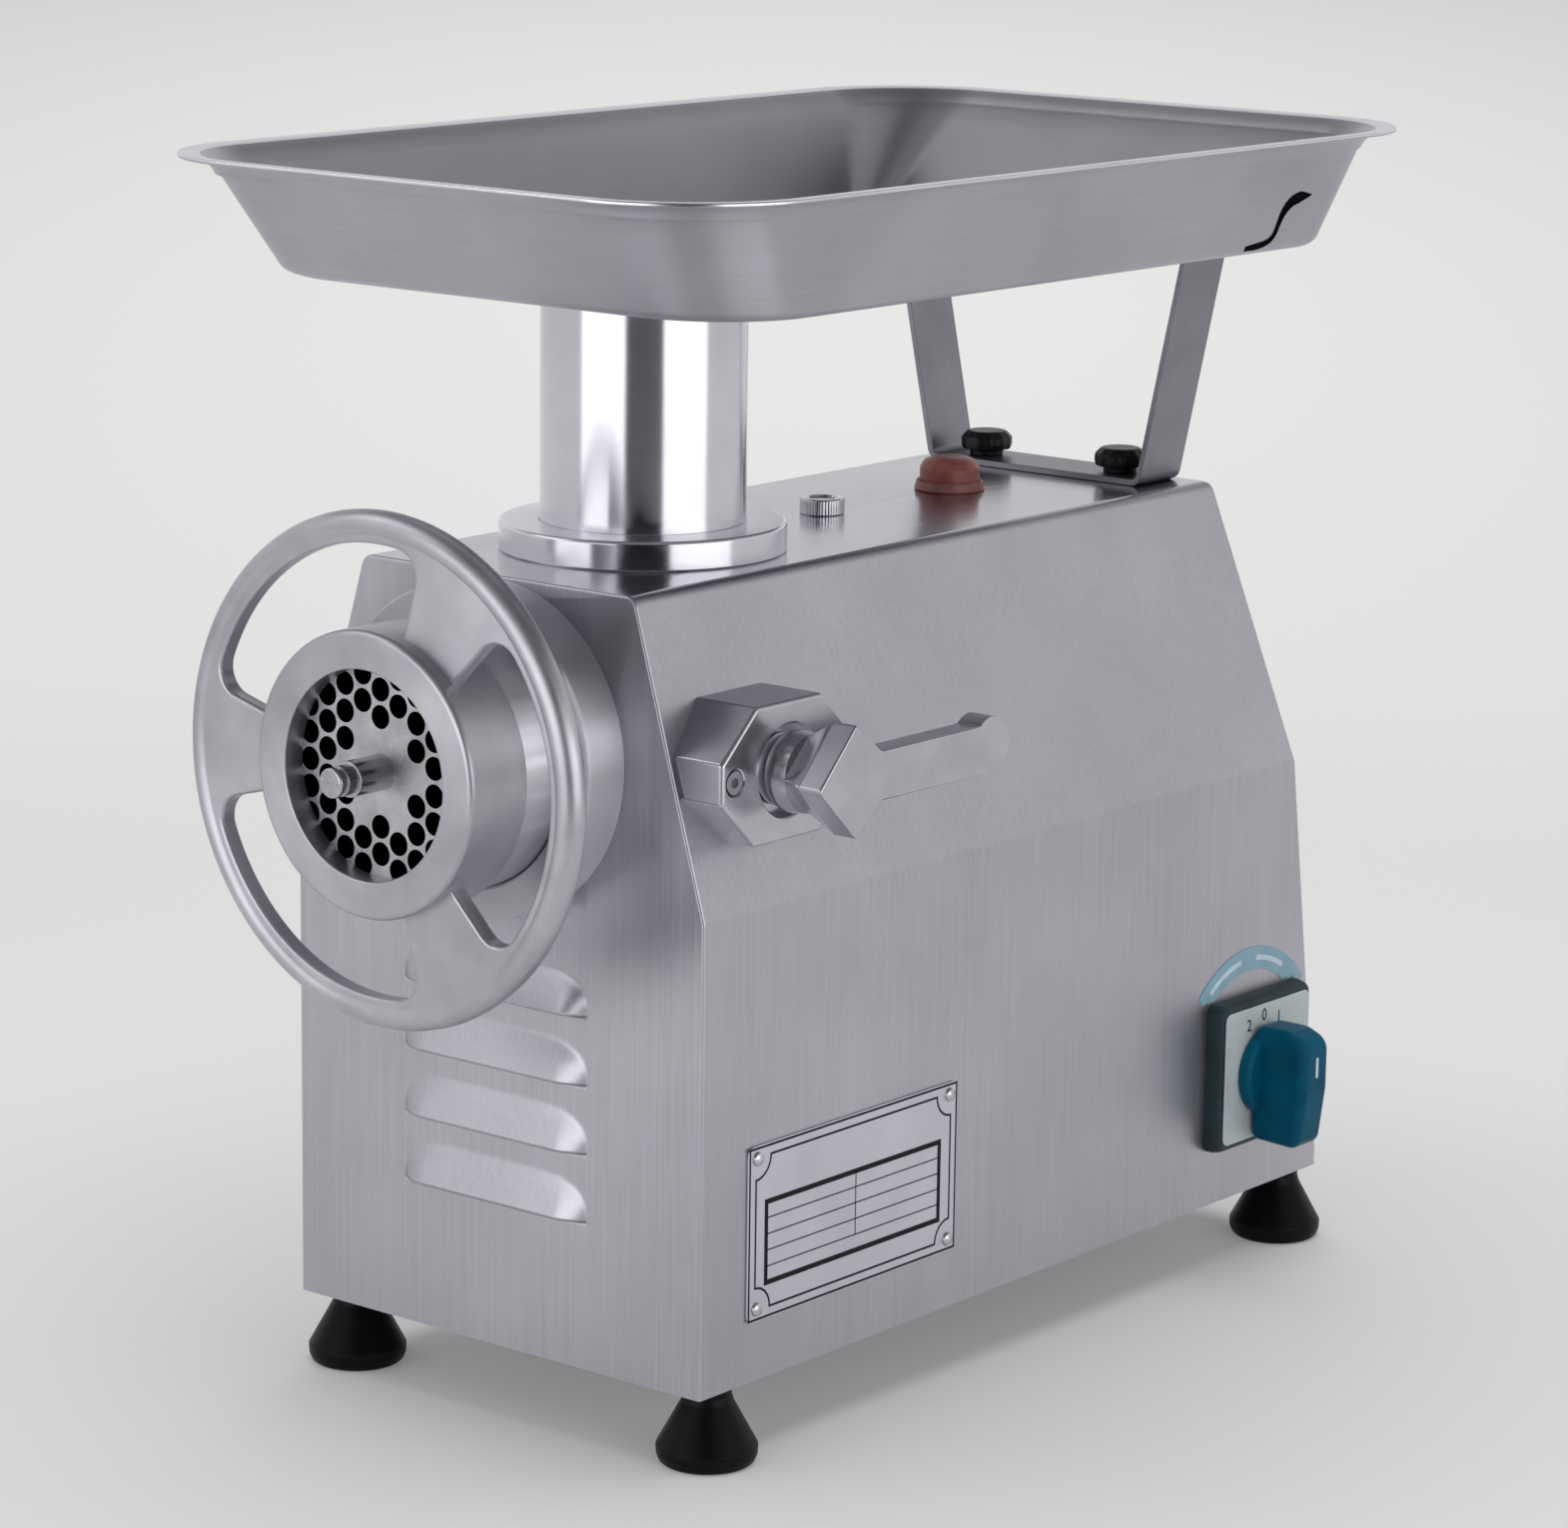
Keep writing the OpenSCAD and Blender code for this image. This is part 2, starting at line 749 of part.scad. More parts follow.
module housing_shell() {
    color(steel)
        difference() {
            union() {
                difference() {
                    run(0, front_y, rear_low_y);
                    behind(0);
                    difference() {
                        run(sheet, front_y + sheet, rear_low_y);
                        behind(-sheet);
                    }
                    run(rear_lip, front_y + sheet, rear_low_y);
                    translate([-crease_half + sheet, front_y + sheet, base_z - 1])
                        cube([body_width - 2 * sheet, base_rear_y - front_y - sheet, sheet + 2]);
                }
                for (i = [0 : louvre_count - 1])
                    translate([0, 0, louvre_low_z + i * louvre_pitch])
                        intersection() {
                            louvre_bulge(louvre_r, louvre_length / 2 - louvre_r + 1);
                            louvre_window(sheet / 2);
                        }
            }
            for (i = [0 : louvre_count - 1])
                translate([0, 0, louvre_low_z + i * louvre_pitch])
                    intersection() {
                        translate([0, 0, -0.01])
                            louvre_bulge(louvre_r - sheet, louvre_length / 2 - louvre_r + 1);
                        translate([0, 0, -0.01])
                            louvre_window(louvre_sink);
                    }
            bar(barrel_r + screw_gap, front_y - 1, front_y + 2 * sheet);
            post(tube_spigot_r + screw_gap, top_z - 2 * sheet, top_z + 1, tube_y);
            post(plug_stem_r + screw_gap, top_z - 2 * sheet, top_z + 1, plug_y);
            post(reset_stem_r + screw_gap, top_z - 2 * sheet, top_z + 1, reset_y);
            for (x = [-knob_x, knob_x])
                post(knob_stud_r + screw_gap, top_z - 2 * sheet, top_z + 1, strip_y, x);
            rod(lock_r + screw_gap, lug_x, boss_x, lock_y, axis_z);
            for (s = [-1, 1])
                rod(boss_screw_r + screw_gap, lug_x - 6, boss_x, lock_y + s * boss_screw_at, axis_z);
            rod(contact_boss_r + screw_gap, crease_half - 2 * sheet, crease_half + 1, switch_y, switch_z);
            at_panel_screws()
                translate([0, 0, -panel_screw_l])
                    cylinder(r = panel_screw_r + screw_gap, h = panel_screw_l + 1);
        }
}

module rear_panel() {
    color(steel)
        difference() {
            run(0.5, front_y, rear_low_y + far);
            difference() {
                translate([-far / 2, front_y - 1, -far / 2])
                    cube([far, far * 2, far * 2]);
                behind(0);
            }
            behind(sheet);
            at_panel_screws()
                translate([0, 0, -1])
                    cylinder(r = panel_screw_r + screw_gap, h = sheet + 2);
            gland_place()
                translate([0, 0, -1])
                    cylinder(r = gland_r + screw_gap, h = sheet + 2);
        }
}

module rear_panel_screws() {
    color(steel)
        at_panel_screws() {
            translate([0, 0, sheet])
                cylinder(r = panel_screw_head_r, h = panel_screw_head_h);
            translate([0, 0, -panel_screw_l + sheet])
                cylinder(r = panel_screw_r, h = panel_screw_l);
        }
}

module base_plate() {
    half = crease_half - sheet - base_gap;
    front = front_y + sheet + base_gap;
    color(steel)
        difference() {
            union() {
                translate([-half, front, base_z])
                    cube([2 * half, base_rear_y - base_gap - front, base_plate_t]);
                at_feet()
                    translate([0, 0, base_z])
                        cylinder(r = weld_nut_r, h = base_plate_t + weld_nut_h, $fn = 6);
            }
            at_feet()
                translate([0, 0, base_z - 1])
                    cylinder(r = foot_screw_r + screw_gap, h = base_plate_t + weld_nut_h + 2);
        }
}

module rubber_feet() {
    color(dark)
        at_feet()
            difference() {
                rotate_extrude()
                    polygon([[0, 0], [foot_rest_r, 0], [foot_r, foot_wide_z - 2], [foot_r, foot_wide_z],
                        [foot_neck_r, foot_neck_z], [foot_neck_r, base_z], [0, base_z]]);
                translate([0, 0, -1])
                    cylinder(r = foot_mouth_r, h = foot_mouth_h + 1);
                cylinder(r = foot_pocket_r, h = foot_pocket_z);
                cylinder(r = foot_screw_r + screw_gap, h = base_z + 1);
            }
}

module foot_screws() {
    color(steel)
        at_feet() {
            translate([0, 0, foot_pocket_z - foot_screw_head_h])
                cylinder(r = foot_screw_head_r, h = foot_screw_head_h);
            translate([0, 0, foot_pocket_z - 1])
                cylinder(r = foot_screw_r, h = foot_screw_top - foot_pocket_z + 1);
        }
}

// Places of the nameplate's rivets
module at_rivets() {
    for (y = [-1, 1], z = [-1, 1])
        translate([crease_half, plate_y + y * (plate_length / 2 - rivet_inset),
            plate_z + z * (plate_height / 2 - rivet_inset)])
            rotate([0, 90, 0])
                children();
}

module nameplate() {
    color(steel)
        difference() {
            translate([crease_half, plate_y - plate_length / 2, plate_z - plate_height / 2])
                cube([plate_t, plate_length, plate_height]);
            for (y = [-1, 1], z = [-1, 1])
                rod(plate_notch_r, crease_half - 1, crease_half + plate_t + 1,
                    plate_y + y * plate_length / 2, plate_z + z * plate_height / 2);
        }
}

module nameplate_rivets() {
    color(steel)
        at_rivets()
            translate([0, 0, plate_t])
                cylinder(r1 = rivet_r, r2 = rivet_r * 0.6, h = rivet_h);
}

module turn_label() {
    color(teal)
        translate([crease_half, switch_y, switch_z])
            rotate([90, 0, 90])
                linear_extrude(label_t)
                    difference() {
                        polygon(concat(arc_points(label_out_r, label_start_angle, label_end_angle),
                            arc_points(label_in_r, label_end_angle, label_start_angle)));
                        square(bezel_size + 2 * screw_gap, center = true);
                    }
}

// Square with rounded corners, centred
module soft_square(size, r) {
    offset(r = r)
        square([size - 2 * r, size - 2 * r], center = true);
}

module switch_bezel() {
    color(dark)
        difference() {
            translate([crease_half, switch_y, switch_z])
                rotate([90, 0, 90])
                    linear_extrude(bezel_d, scale = bezel_front / bezel_size)
                        soft_square(bezel_size, 3);
            rod(contact_boss_r + screw_gap, crease_half - 1, bezel_x - 2, switch_y, switch_z);
            rod(spindle_r + screw_gap, crease_half - 1, bezel_x + 1, switch_y, switch_z);
        }
}

module switch_face() {
    color(steel)
        difference() {
            translate([bezel_x, switch_y, switch_z])
                rotate([90, 0, 90])
                    linear_extrude(face_t)
                        soft_square(face_size, 2.5);
            rod(spindle_r + screw_gap, bezel_x - 1, bezel_x + face_t + 1, switch_y, switch_z);
        }
}

module switch_body() {
    inner_x = crease_half - sheet;
    color(dark)
        difference() {
            union() {
                translate([inner_x - contact_d, switch_y - contact_size / 2, switch_z - contact_size / 2])
                    cube([contact_d, contact_size, contact_size]);
                rod(contact_boss_r, inner_x - 1, bezel_x - 2, switch_y, switch_z);
            }
            rod(spindle_r + running, inner_x - 20, bezel_x, switch_y, switch_z);
        }
}

module switch_knob() {
    color(teal)
        union() {
            rod(dial_r, dial_x, dial_x + dial_t, switch_y, switch_z);
            rod(spindle_r, crease_half - 14, dial_x + 1, switch_y, switch_z);
            translate([dial_x + dial_t - 1, switch_y - grip_w / 2, switch_z])
                rotate([90, 0, 90])
                    translate([0, -grip_down])
                        linear_extrude(grip_d + 1)
                            translate([grip_w / 2, (grip_up + grip_down) / 2])
                                offset(r = 3)
                                    square([grip_w - 6, grip_up + grip_down - 6], center = true);
        }
}

module reset_ring() {
    color(red)
        difference() {
            post(reset_ring_r, top_z, top_z + reset_ring_h, reset_y);
            post(reset_r + screw_gap, top_z - 1, top_z + reset_ring_h + 1, reset_y);
        }
}

module reset_button() {
    low = top_z + reset_travel + 0.3;
    color(red) {
        post(reset_r, low, top_z + reset_top - 2, reset_y);
        translate([0, reset_y, top_z + reset_top - 2])
            cylinder(r1 = reset_r, r2 = reset_r - 2.5, h = 2);
        post(reset_stem_r, low - reset_stem_l, low + 1, reset_y);
    }
}

module reset_breaker() {
    color(dark)
        difference() {
            post(breaker_r, top_z - sheet - breaker_l, top_z - sheet, reset_y);
            post(reset_stem_r + screw_gap, top_z - sheet - reset_stem_l - reset_travel, top_z, reset_y);
        }
}

module oil_plug() {
    color(steel) {
        post(plug_r, top_z, top_z + plug_h - 1.5, plug_y);
        translate([0, plug_y, top_z + plug_h - 1.5])
            cylinder(r1 = plug_r, r2 = plug_r - 1.5, h = 1.5);
        post(plug_stem_r, top_z - 9, top_z + 1, plug_y);
    }
}

// Points round one quarter of a corner
function tray_corner(x, y, r, start) =
    [for (i = [0 : 16]) [x + r * cos(start + i * 90 / 16), y + r * sin(start + i * 90 / 16)]];

// Thin slab between two heights, in the tray's outline
module tray_slab(width, y0, y1, r, rear_r, inwards, z, h) {
    half = width / 2;
    translate([0, 0, z])
        linear_extrude(h)
            polygon(concat(
                tray_corner(half - r, y0 + r, r - inwards, -90),
                tray_corner(half - rear_r, y1 - rear_r, rear_r - inwards, 0),
                tray_corner(rear_r - half, y1 - rear_r, rear_r - inwards, 90),
                tray_corner(r - half, y0 + r, r - inwards, 180)));
}

// The same slab in the outline of the walls' upper edge
module wall_slab(inwards, z, h) {
    tray_slab(tray_width - 2 * lip_w, tray_front_y + lip_w, tray_rear_y - lip_w, rim_corner_r - lip_w,
        rim_corner_r - lip_w, inwards, z, h);
}

// Bowl of the tray, moved inwards by a distance and raised
module tray_bowl(inwards, raise) {
    hull() {
        tray_slab(floor_width, floor_front_y, floor_rear_y, floor_corner_r, floor_rear_corner_r, inwards,
            floor_z + raise, 0.1);
        wall_slab(inwards, tray_wall_z + (raise > 0 ? 0.1 : -0.1), 0.1);
    }
}

// Space from the walls' upper edge out to the rim, from a distance below it
module tray_flare(below, h) {
    hull() {
        wall_slab(0, tray_wall_z - below, 0.1);
        tray_slab(tray_width, tray_front_y, tray_rear_y, rim_corner_r, rim_corner_r, 0,
            tray_rim_z - below, h);
    }
}

// Centre line of an S-shaped groove, along Y and Z
slot_path = [[-14, 2.5], [3, 3.5], [10, 6], [13, 10.5], [14.5, 15], [19, 19.5], [34, 21]];

// The same line moved sideways by a distance
function slot_side(gap) = [for (i = [0 : len(slot_path) - 1])
    let (a = slot_path[max(i - 1, 0)], b = slot_path[min(i + 1, len(slot_path) - 1)], run = (b - a) / norm(b - a))
    slot_path[i] + gap * [-run[1], run[0]]];

module slot_cut() {
    upper = slot_side(slot_w / 2);
    lower = slot_side(-slot_w / 2);
    translate([0, slot_y, floor_z])
        rotate([90, 0, 90])
            linear_extrude(2 * tray_width, center = true)
                polygon(concat(upper, [for (i = [len(lower) - 1 : -1 : 0]) lower[i]]));
}

module tray() {
    color(steel)
        difference() {
            union() {
                tray_bowl(0, 0);
                tray_flare(tray_t, tray_t);
            }
            tray_bowl(tray_t, tray_t);
            tray_flare(0, 1);
            post(tray_neck_r + seat_gap, floor_z - 1, floor_z + tray_t + 1, tube_y);
            difference() {
                slot_cut();
                tray_bowl(slot_deep, slot_deep);
            }
        }
}

module tray_neck() {
    color(steel)
        difference() {
            post(tray_neck_r, floor_z - tray_neck_l, floor_z + tray_t, tube_y);
            post(tray_neck_r - tray_neck_t, floor_z - tray_neck_l - 1, floor_z + tray_t + 1, tube_y);
        }
}

// Right-hand points of the bracket's outline, from the base's corner round to its inner corner
function bracket_side() =
    let (rise = floor_z - top_z, run_x = rise * tan(arm_lean), wide = strip_t / cos(arm_lean))
    [[strip_half, 0], [strip_half + run_x, rise - strip_t], [strip_half + run_x, rise],
        [strip_half + run_x - tab_l, rise], [strip_half + run_x - tab_l, rise - strip_t],
        [strip_half + run_x - wide, rise - strip_t],
        [strip_half - wide + strip_t * tan(arm_lean), strip_t]];

module tray_bracket() {
    right = bracket_side();
    color(steel)
        difference() {
            translate([0, strip_y + strip_w / 2, top_z])
                rotate([90, 0, 0])
                    linear_extrude(strip_w)
                        polygon(concat(right, [for (i = [len(right) - 1 : -1 : 0]) [-right[i][0], right[i][1]]]));
            for (x = [-knob_x, knob_x])
                post(knob_stud_r + screw_gap, top_z - 1, top_z + strip_t + 1, strip_y, x);
        }
}

module bracket_knob(x) {
    low = top_z + strip_t;
    color(dark) {
        post(knob_neck_r, low, low + knob_neck_h + 1, strip_y, x);
        post(knob_r, low + knob_neck_h, low + knob_neck_h + knob_h, strip_y, x);
        post(knob_stud_r, low - knob_stud_l, low + 1, strip_y, x);
    }
}

module bracket_knob_left() {
    bracket_knob(-knob_x);
}

module bracket_knob_right() {
    bracket_knob(knob_x);
}

module feed_tube() {
    color(cast)
        difference() {
            union() {
                post(tube_r, top_z, tube_top_z, tube_y);
                post(tube_spigot_r, top_z - tube_spigot_l, top_z + 1, tube_y);
            }
            post(throat_r, top_z - tube_spigot_l - 1, tube_top_z + 1, tube_y);
        }
}

module feed_flange() {
    color(cast)
        difference() {
            post(flange_r, top_z, top_z + flange_t, tube_y);
            post(tube_r + seat_gap, top_z - 1, top_z + flange_t + 1, tube_y);
        }
}

module head_barrel() {
    neck_top = top_z - sheet - neck_gap;
    color(cast)
        difference() {
            union() {
                bar(barrel_r, front_y - 1, barrel_rear_y);
                bar(muzzle_r, muzzle_y, front_y - 0.3);
                bar(spigot_r, spigot_y, muzzle_y + 1);
                post(neck_r, axis_z, neck_top, tube_y);
            }
            bar(bore_r, spigot_y - 1, wall_front_y);
            bar(seat_r, spigot_y - 1, seat_y);
            bar(journal_r + running, wall_front_y - 1, barrel_rear_y + 1);
            post(throat_r, axis_z, top_z, tube_y);
            post(tube_spigot_r + tube_gap, top_z - tube_spigot_l, top_z, tube_y);
            bar(key_r, spigot_y - 1, disc_rear_y, axis_z - disc_r);
        }
}

// Place of the collar's screw
module collar_screw_place() {
    translate([collar_screw_at * cos(collar_screw_angle), collar_y,
        axis_z - collar_screw_at * sin(collar_screw_angle)])
        rotate([-90, 0, 0])
            children();
}

module head_collar() {
    color(cast)
        difference() {
            bar(collar_r, collar_y, front_y);
            bar(muzzle_r + collar_gap, collar_y - 1, front_y + 1);
            collar_screw_place()
                translate([0, 0, -1])
                    cylinder(r = collar_screw_r + screw_gap, h = collar_screw_l + 1);
        }
}

module collar_screw() {
    color(dark)
        collar_screw_place()
            difference() {
                translate([0, 0, 0.3])
                    cylinder(r = collar_screw_r, h = collar_screw_l - 0.3);
                cylinder(r = collar_screw_r * 0.5, h = 3, $fn = 6);
            }
}

module head_socket() {
    ring_in = barrel_r + socket_gap;
    color(iron)
        difference() {
            union() {
                bar(ring_in + socket_wall, front_y + sheet, socket_rear_y);
                translate([barrel_r, front_y + sheet, axis_z - 14])
                    cube([lug_x - barrel_r, lock_y + lug_width / 2 - front_y - sheet, 28]);
            }
            bar(ring_in, front_y, lock_y + lug_width);
            rod(lock_r + running, barrel_r - 5, lug_x + 1, lock_y, axis_z);
            for (s = [-1, 1])
                rod(boss_screw_r + screw_gap, lug_x - 12, lug_x + 1, lock_y + s * boss_screw_at, axis_z);
        }
}

// Outline of the eight-sided boss, along Y and Z
module boss_outline() {
    y = boss_length / 2;
    z = boss_height / 2;
    polygon([[-y, -z + boss_corner_z], [-y + boss_corner_y, -z], [y - boss_corner_y, -z],
        [y, -z + boss_corner_z], [y, z - boss_corner_z], [y - boss_corner_y, z],
        [-y + boss_corner_y, z], [-y, z - boss_corner_z]]);
}

module lock_boss() {
    color(cast)
        difference() {
            translate([lug_x, lock_y, axis_z])
                rotate([90, 0, 90])
                    linear_extrude(boss_x - lug_x)
                        boss_outline();
            run(0, front_y, rear_low_y);
            rod(lock_r + running, lug_x - 1, boss_x + 1, lock_y, axis_z);
            for (s = [-1, 1]) {
                rod(boss_screw_r + screw_gap, lug_x - 1, boss_x + 1, lock_y + s * boss_screw_at, axis_z);
                rod(boss_screw_head_r + screw_gap, boss_x - 3, boss_x + 1, lock_y + s * boss_screw_at, axis_z);
            }
        }
}

module lock_boss_screws() {
    color(dark)
        for (s = [-1, 1])
            difference() {
                union() {
                    rod(boss_screw_head_r, boss_x - 3, boss_x - 0.2, lock_y + s * boss_screw_at, axis_z);
                    rod(boss_screw_r, boss_x - boss_screw_l, boss_x - 2, lock_y + s * boss_screw_at, axis_z);
                }
                translate([boss_x - 2, lock_y + s * boss_screw_at, axis_z])
                    rotate([0, 90, 0])
                        cylinder(r = boss_screw_head_r * 0.5, h = 3, $fn = 6);
            }
}

module lock_screw() {
    color(steel)
        rod(lock_r, barrel_r + socket_gap, lever_x, lock_y, axis_z);
}

module lock_lever() {
    flare_x = lever_x + lever_hub_l;
    head_x = flare_x + lever_flare_l;
    color(cast)
        union() {
            rod(lever_hub_r, lever_x, flare_x, lock_y, axis_z);
            hull() {
                rod(lever_hub_r, flare_x - 0.1, flare_x, lock_y, axis_z, $fn = 32);
                translate([head_x, lock_y, axis_z])
                    rotate([head_angle, 0, 0])
                        lever_plate(head_long, head_wide);
            }
            translate([head_x, lock_y, axis_z])
                rotate([90, 0, 90])
                    linear_extrude(lever_t)
                        polygon([[0, 0], lever_corner(), [head_blend, -arm_h / 2],
                            [lever_length - lever_end_r, -arm_h / 2], [lever_length - lever_end_r, arm_h / 2],
                            [0, arm_h / 2]]);
            rod(lever_end_r, head_x, head_x + lever_t, lock_y + lever_length - lever_end_r,
                axis_z + lever_end_r - arm_h / 2);
        }
}

// Point just inside the lower corner of the lever's head, along Y and Z from the axis
function lever_corner() =
    let (along = head_long / 2 - 0.3, across = head_wide / 2 - 0.3)
    [across * sin(head_angle) - along * cos(head_angle), -along * sin(head_angle) - across * cos(head_angle)];

// Oblong head of the lever
module lever_plate(long, wide) {
    rotate([90, 0, 90])
        linear_extrude(lever_t)
            square([long, wide], center = true);
}

// One opening between two webs
module web_opening() {
    offset(r = opening_corner_r)
        offset(delta = -opening_corner_r)
            intersection() {
                difference() {
                    circle(r = opening_out_r);
                    circle(r = opening_in_r);
                }
                polygon([[0, 0], [far * cos(opening_half), far * sin(opening_half)], [far, 0],
                    [far * cos(opening_half), -far * sin(opening_half)]]);
            }
}

module ring_nut() {
    step = nut_rear_y - nut_front_y;
    color(cast)
        difference() {
            union() {
                translate([0, nut_front_y, axis_z])
                    rotate([-90, 0, 0])
                        rotate_extrude() {
                            translate([0, hub_edge_r])
                                square([hub_r, step - hub_edge_r]);
                            square([hub_r - hub_edge_r, hub_edge_r]);
                            translate([hub_r - hub_edge_r, hub_edge_r])
                                circle(r = hub_edge_r);
                        }
                translate([0, rim_y, axis_z])
                    rotate([90, 0, 0])
                        rotate_extrude()
                            translate([rim_at_r, 0])
                                circle(r = rim_r);
                translate([0, rim_y + web_t / 2, axis_z])
                    rotate([90, 0, 0])
                        linear_extrude(web_t)
                            difference() {
                                circle(r = rim_at_r);
                                for (a = [0, 120, 240])
                                    rotate(a)
                                        web_opening();
                            }
            }
            bar(aperture_r, nut_front_y - 1, nut_rear_y + 1);
            bar(spigot_r + thread_gap, disc_front_y, nut_rear_y + 1);
        }
}

module hole_plate() {
    rows = ceil(mince_out_r / mince_pitch) + 1;
    color(steel)
        difference() {
            bar(disc_r, disc_front_y, disc_rear_y);
            bar(stud_journal_r + running, disc_front_y - 1, disc_rear_y + 1);
            bar(key_r + key_gap, disc_front_y - 1, disc_rear_y + 1, axis_z - disc_r);
            for (i = [-rows : rows], j = [-rows : rows]) {
                x = mince_pitch * i * sqrt(3) / 2;
                z = mince_pitch * (j + (i % 2 == 0 ? 0 : 0.5));
                r = norm([x, z]);
                if (r >= mince_in_r && r <= mince_out_r && norm([x, z + disc_r]) > key_r + mince_hole_r + 1)
                    bar(mince_hole_r, disc_front_y - 1, disc_rear_y + 1, axis_z + z, x);
            }
        }
}

module plate_key() {
    color(steel)
        bar(key_r - seat_gap, spigot_y, disc_rear_y - 1, axis_z - disc_r);
}

module knife() {
    color(steel)
        difference() {
            union() {
                bar(knife_hub_r, knife_front_y, knife_rear_y);
                for (a = [0 : 90 : 270])
                    translate([0, knife_rear_y, axis_z])
                        rotate([90, 0, 0])
                            rotate(a)
                                linear_extrude(knife_t)
                                    polygon([[0, -blade_w / 2], [knife_r, -blade_w / 2],
                                        [knife_r - 1, blade_w / 2], [0, blade_w / 2]]);
            }
            translate([0, (knife_front_y + knife_rear_y) / 2, axis_z])
                cube([stud_square + 2 * square_gap, 2 * knife_t, stud_square + 2 * square_gap], center = true);
        }
}

module auger() {
    front = auger_front_y;
    rear = wall_front_y - 1;
    flight_r = bore_r - flight_gap;
    color(steel)
        difference() {
            union() {
                bar(core_r, front, rear);
                bar(journal_r, rear - 3, barrel_rear_y - seal_side_gap);
                translate([0, rear, axis_z])
                    rotate([90, 0, 0])
                        linear_extrude(rear - front - 4, twist = 360 * (rear - front - 4) / flight_pitch,
                            slices = flight_slices, $fn = 12)
                            polygon([[0, 0], for (k = [-2 : 2]) let (a = k * flight_angle / 4)
                                [flight_r * cos(a), flight_r * sin(a)]]);
            }
            bar(stud_journal_r + seat_gap, front - 1, front + stud_shank_l + 1);
            translate([0, barrel_rear_y - tang_l / 2, axis_z])
                cube([tang + 2 * square_gap, tang_l + 4, tang + 2 * square_gap], center = true);
        }
}

module auger_stud() {
    color(steel) {
        bar(stud_r, stud_front_y, disc_front_y);
        bar(stud_journal_r, disc_front_y - stud_proud, knife_front_y + stud_proud);
        translate([0, (knife_front_y + auger_front_y) / 2, axis_z])
            cube([stud_square, auger_front_y - knife_front_y, stud_square], center = true);
        bar(stud_journal_r, auger_front_y - stud_proud, auger_front_y + stud_shank_l);
    }
}

// Spur gear outline, with straight flanks and some backlash
module gear_outline(teeth, pitch_r) {
    step = 360 / teeth;
    root = pitch_r - 1.2 * gear_module;
    tip = pitch_r + 0.9 * gear_module;
    polygon([for (i = [0 : teeth - 1], k = [0 : 4])
        let (a = i * step + step * [-0.42, -0.33, -0.115, 0.115, 0.33][k], r = [root, root, tip, tip, root][k])
        [r * cos(a), r * sin(a)]]);
}

// Spur gear along Y
module gear(teeth, pitch_r, y0, y1, phase, x, z) {
    translate([x, y1, z])
        rotate([90, 0, 0])
            linear_extrude(y1 - y0)
                rotate(phase)
                    gear_outline(teeth, pitch_r);
}

module drive_shaft() {
    color(steel) {
        translate([0, barrel_rear_y - seal_side_gap - tang_l / 2, axis_z])
            cube([tang, tang_l, tang], center = true);
        bar(output_r, barrel_rear_y - seal_side_gap, slow_y + slow_w);
        bar(output_rear_r, slow_y + slow_w - 1, case_rear_y - 1.5);
    }
}

module output_gear() {
    color(iron)
        difference() {
            gear(wheel_teeth, wheel_r, slow_y, slow_y + slow_w, 270 - train_angle, 0, axis_z);
            bar(output_r + seat_gap, slow_y - 1, slow_y + slow_w + 1);
        }
}

// Plain ring that stands for a ball bearing
module bearing(outer, inner, y0, x, z) {
    difference() {
        bar(outer, y0, y0 + bearing_w, z, x);
        bar(inner + running, y0 - 1, y0 + bearing_w + 1, z, x);
    }
}

module gear_bearings() {
    color(steel) {
        bearing(front_bearing_r, output_r, cover_rear_y - bearing_w, 0, axis_z);
        bearing(rear_bearing_r, output_rear_r, case_back_y, 0, axis_z);
        bearing(counter_bearing_r, counter_r, cover_rear_y - bearing_w, counter_x, counter_z);
        bearing(counter_bearing_r, counter_r, case_back_y, counter_x, counter_z);
    }
}

module shaft_seal() {
    color(dark)
        difference() {
            bar(front_bearing_r, cover_rear_y - bearing_w - seal_t, cover_rear_y - bearing_w);
            bar(output_r + running, barrel_rear_y - 1, cover_rear_y);
        }
}

module countershaft() {
    color(steel) {
        bar(counter_r, cover_rear_y - bearing_w, case_rear_y - 3, counter_z, counter_x);
        gear(pinion_teeth, pinion_r, slow_y - pinion_extra / 2, slow_y + slow_w + pinion_extra / 2,
            90 - train_angle + tooth_step / 2, counter_x, counter_z);
    }
}

module counter_gear() {
    color(iron)
        difference() {
            gear(wheel_teeth, wheel_r, fast_y, fast_y + fast_w, 270 + train_angle, counter_x, counter_z);
            bar(counter_r + seat_gap, fast_y - 1, fast_y + fast_w + 1, counter_z, counter_x);
        }
}

// Outline round the three shafts, along X and Z
module case_outline(grow) {
    for (pair = [[[0, axis_z, case_r], [counter_x, counter_z, case_r]],
        [[counter_x, counter_z, case_r], [0, motor_z, case_small_r + case_wall]]])
        hull()
            for (c = pair)
                translate([c[0], c[1]])
                    circle(r = c[2] + grow, $fn = 96);
}

// Places of the case screws
module at_case_screws() {
    big = case_r + case_wall - 1;
    small = case_small_r + 2 * case_wall - 1;
    for (p = [[0, axis_z, big, 45], [0, axis_z, big, 150], [counter_x, counter_z, big, train_angle + 190],
        [counter_x, counter_z, big, train_angle - 15], [0, motor_z, small, 270]])
        translate([p[0] + p[2] * cos(p[3]), barrel_rear_y, p[1] + p[2] * sin(p[3])])
            rotate([-90, 0, 0])
                children();
}

module case_solid(grow, y0, y1) {
    translate([0, y1, 0])
        rotate([90, 0, 0])
            linear_extrude(y1 - y0)
                case_outline(grow);
}

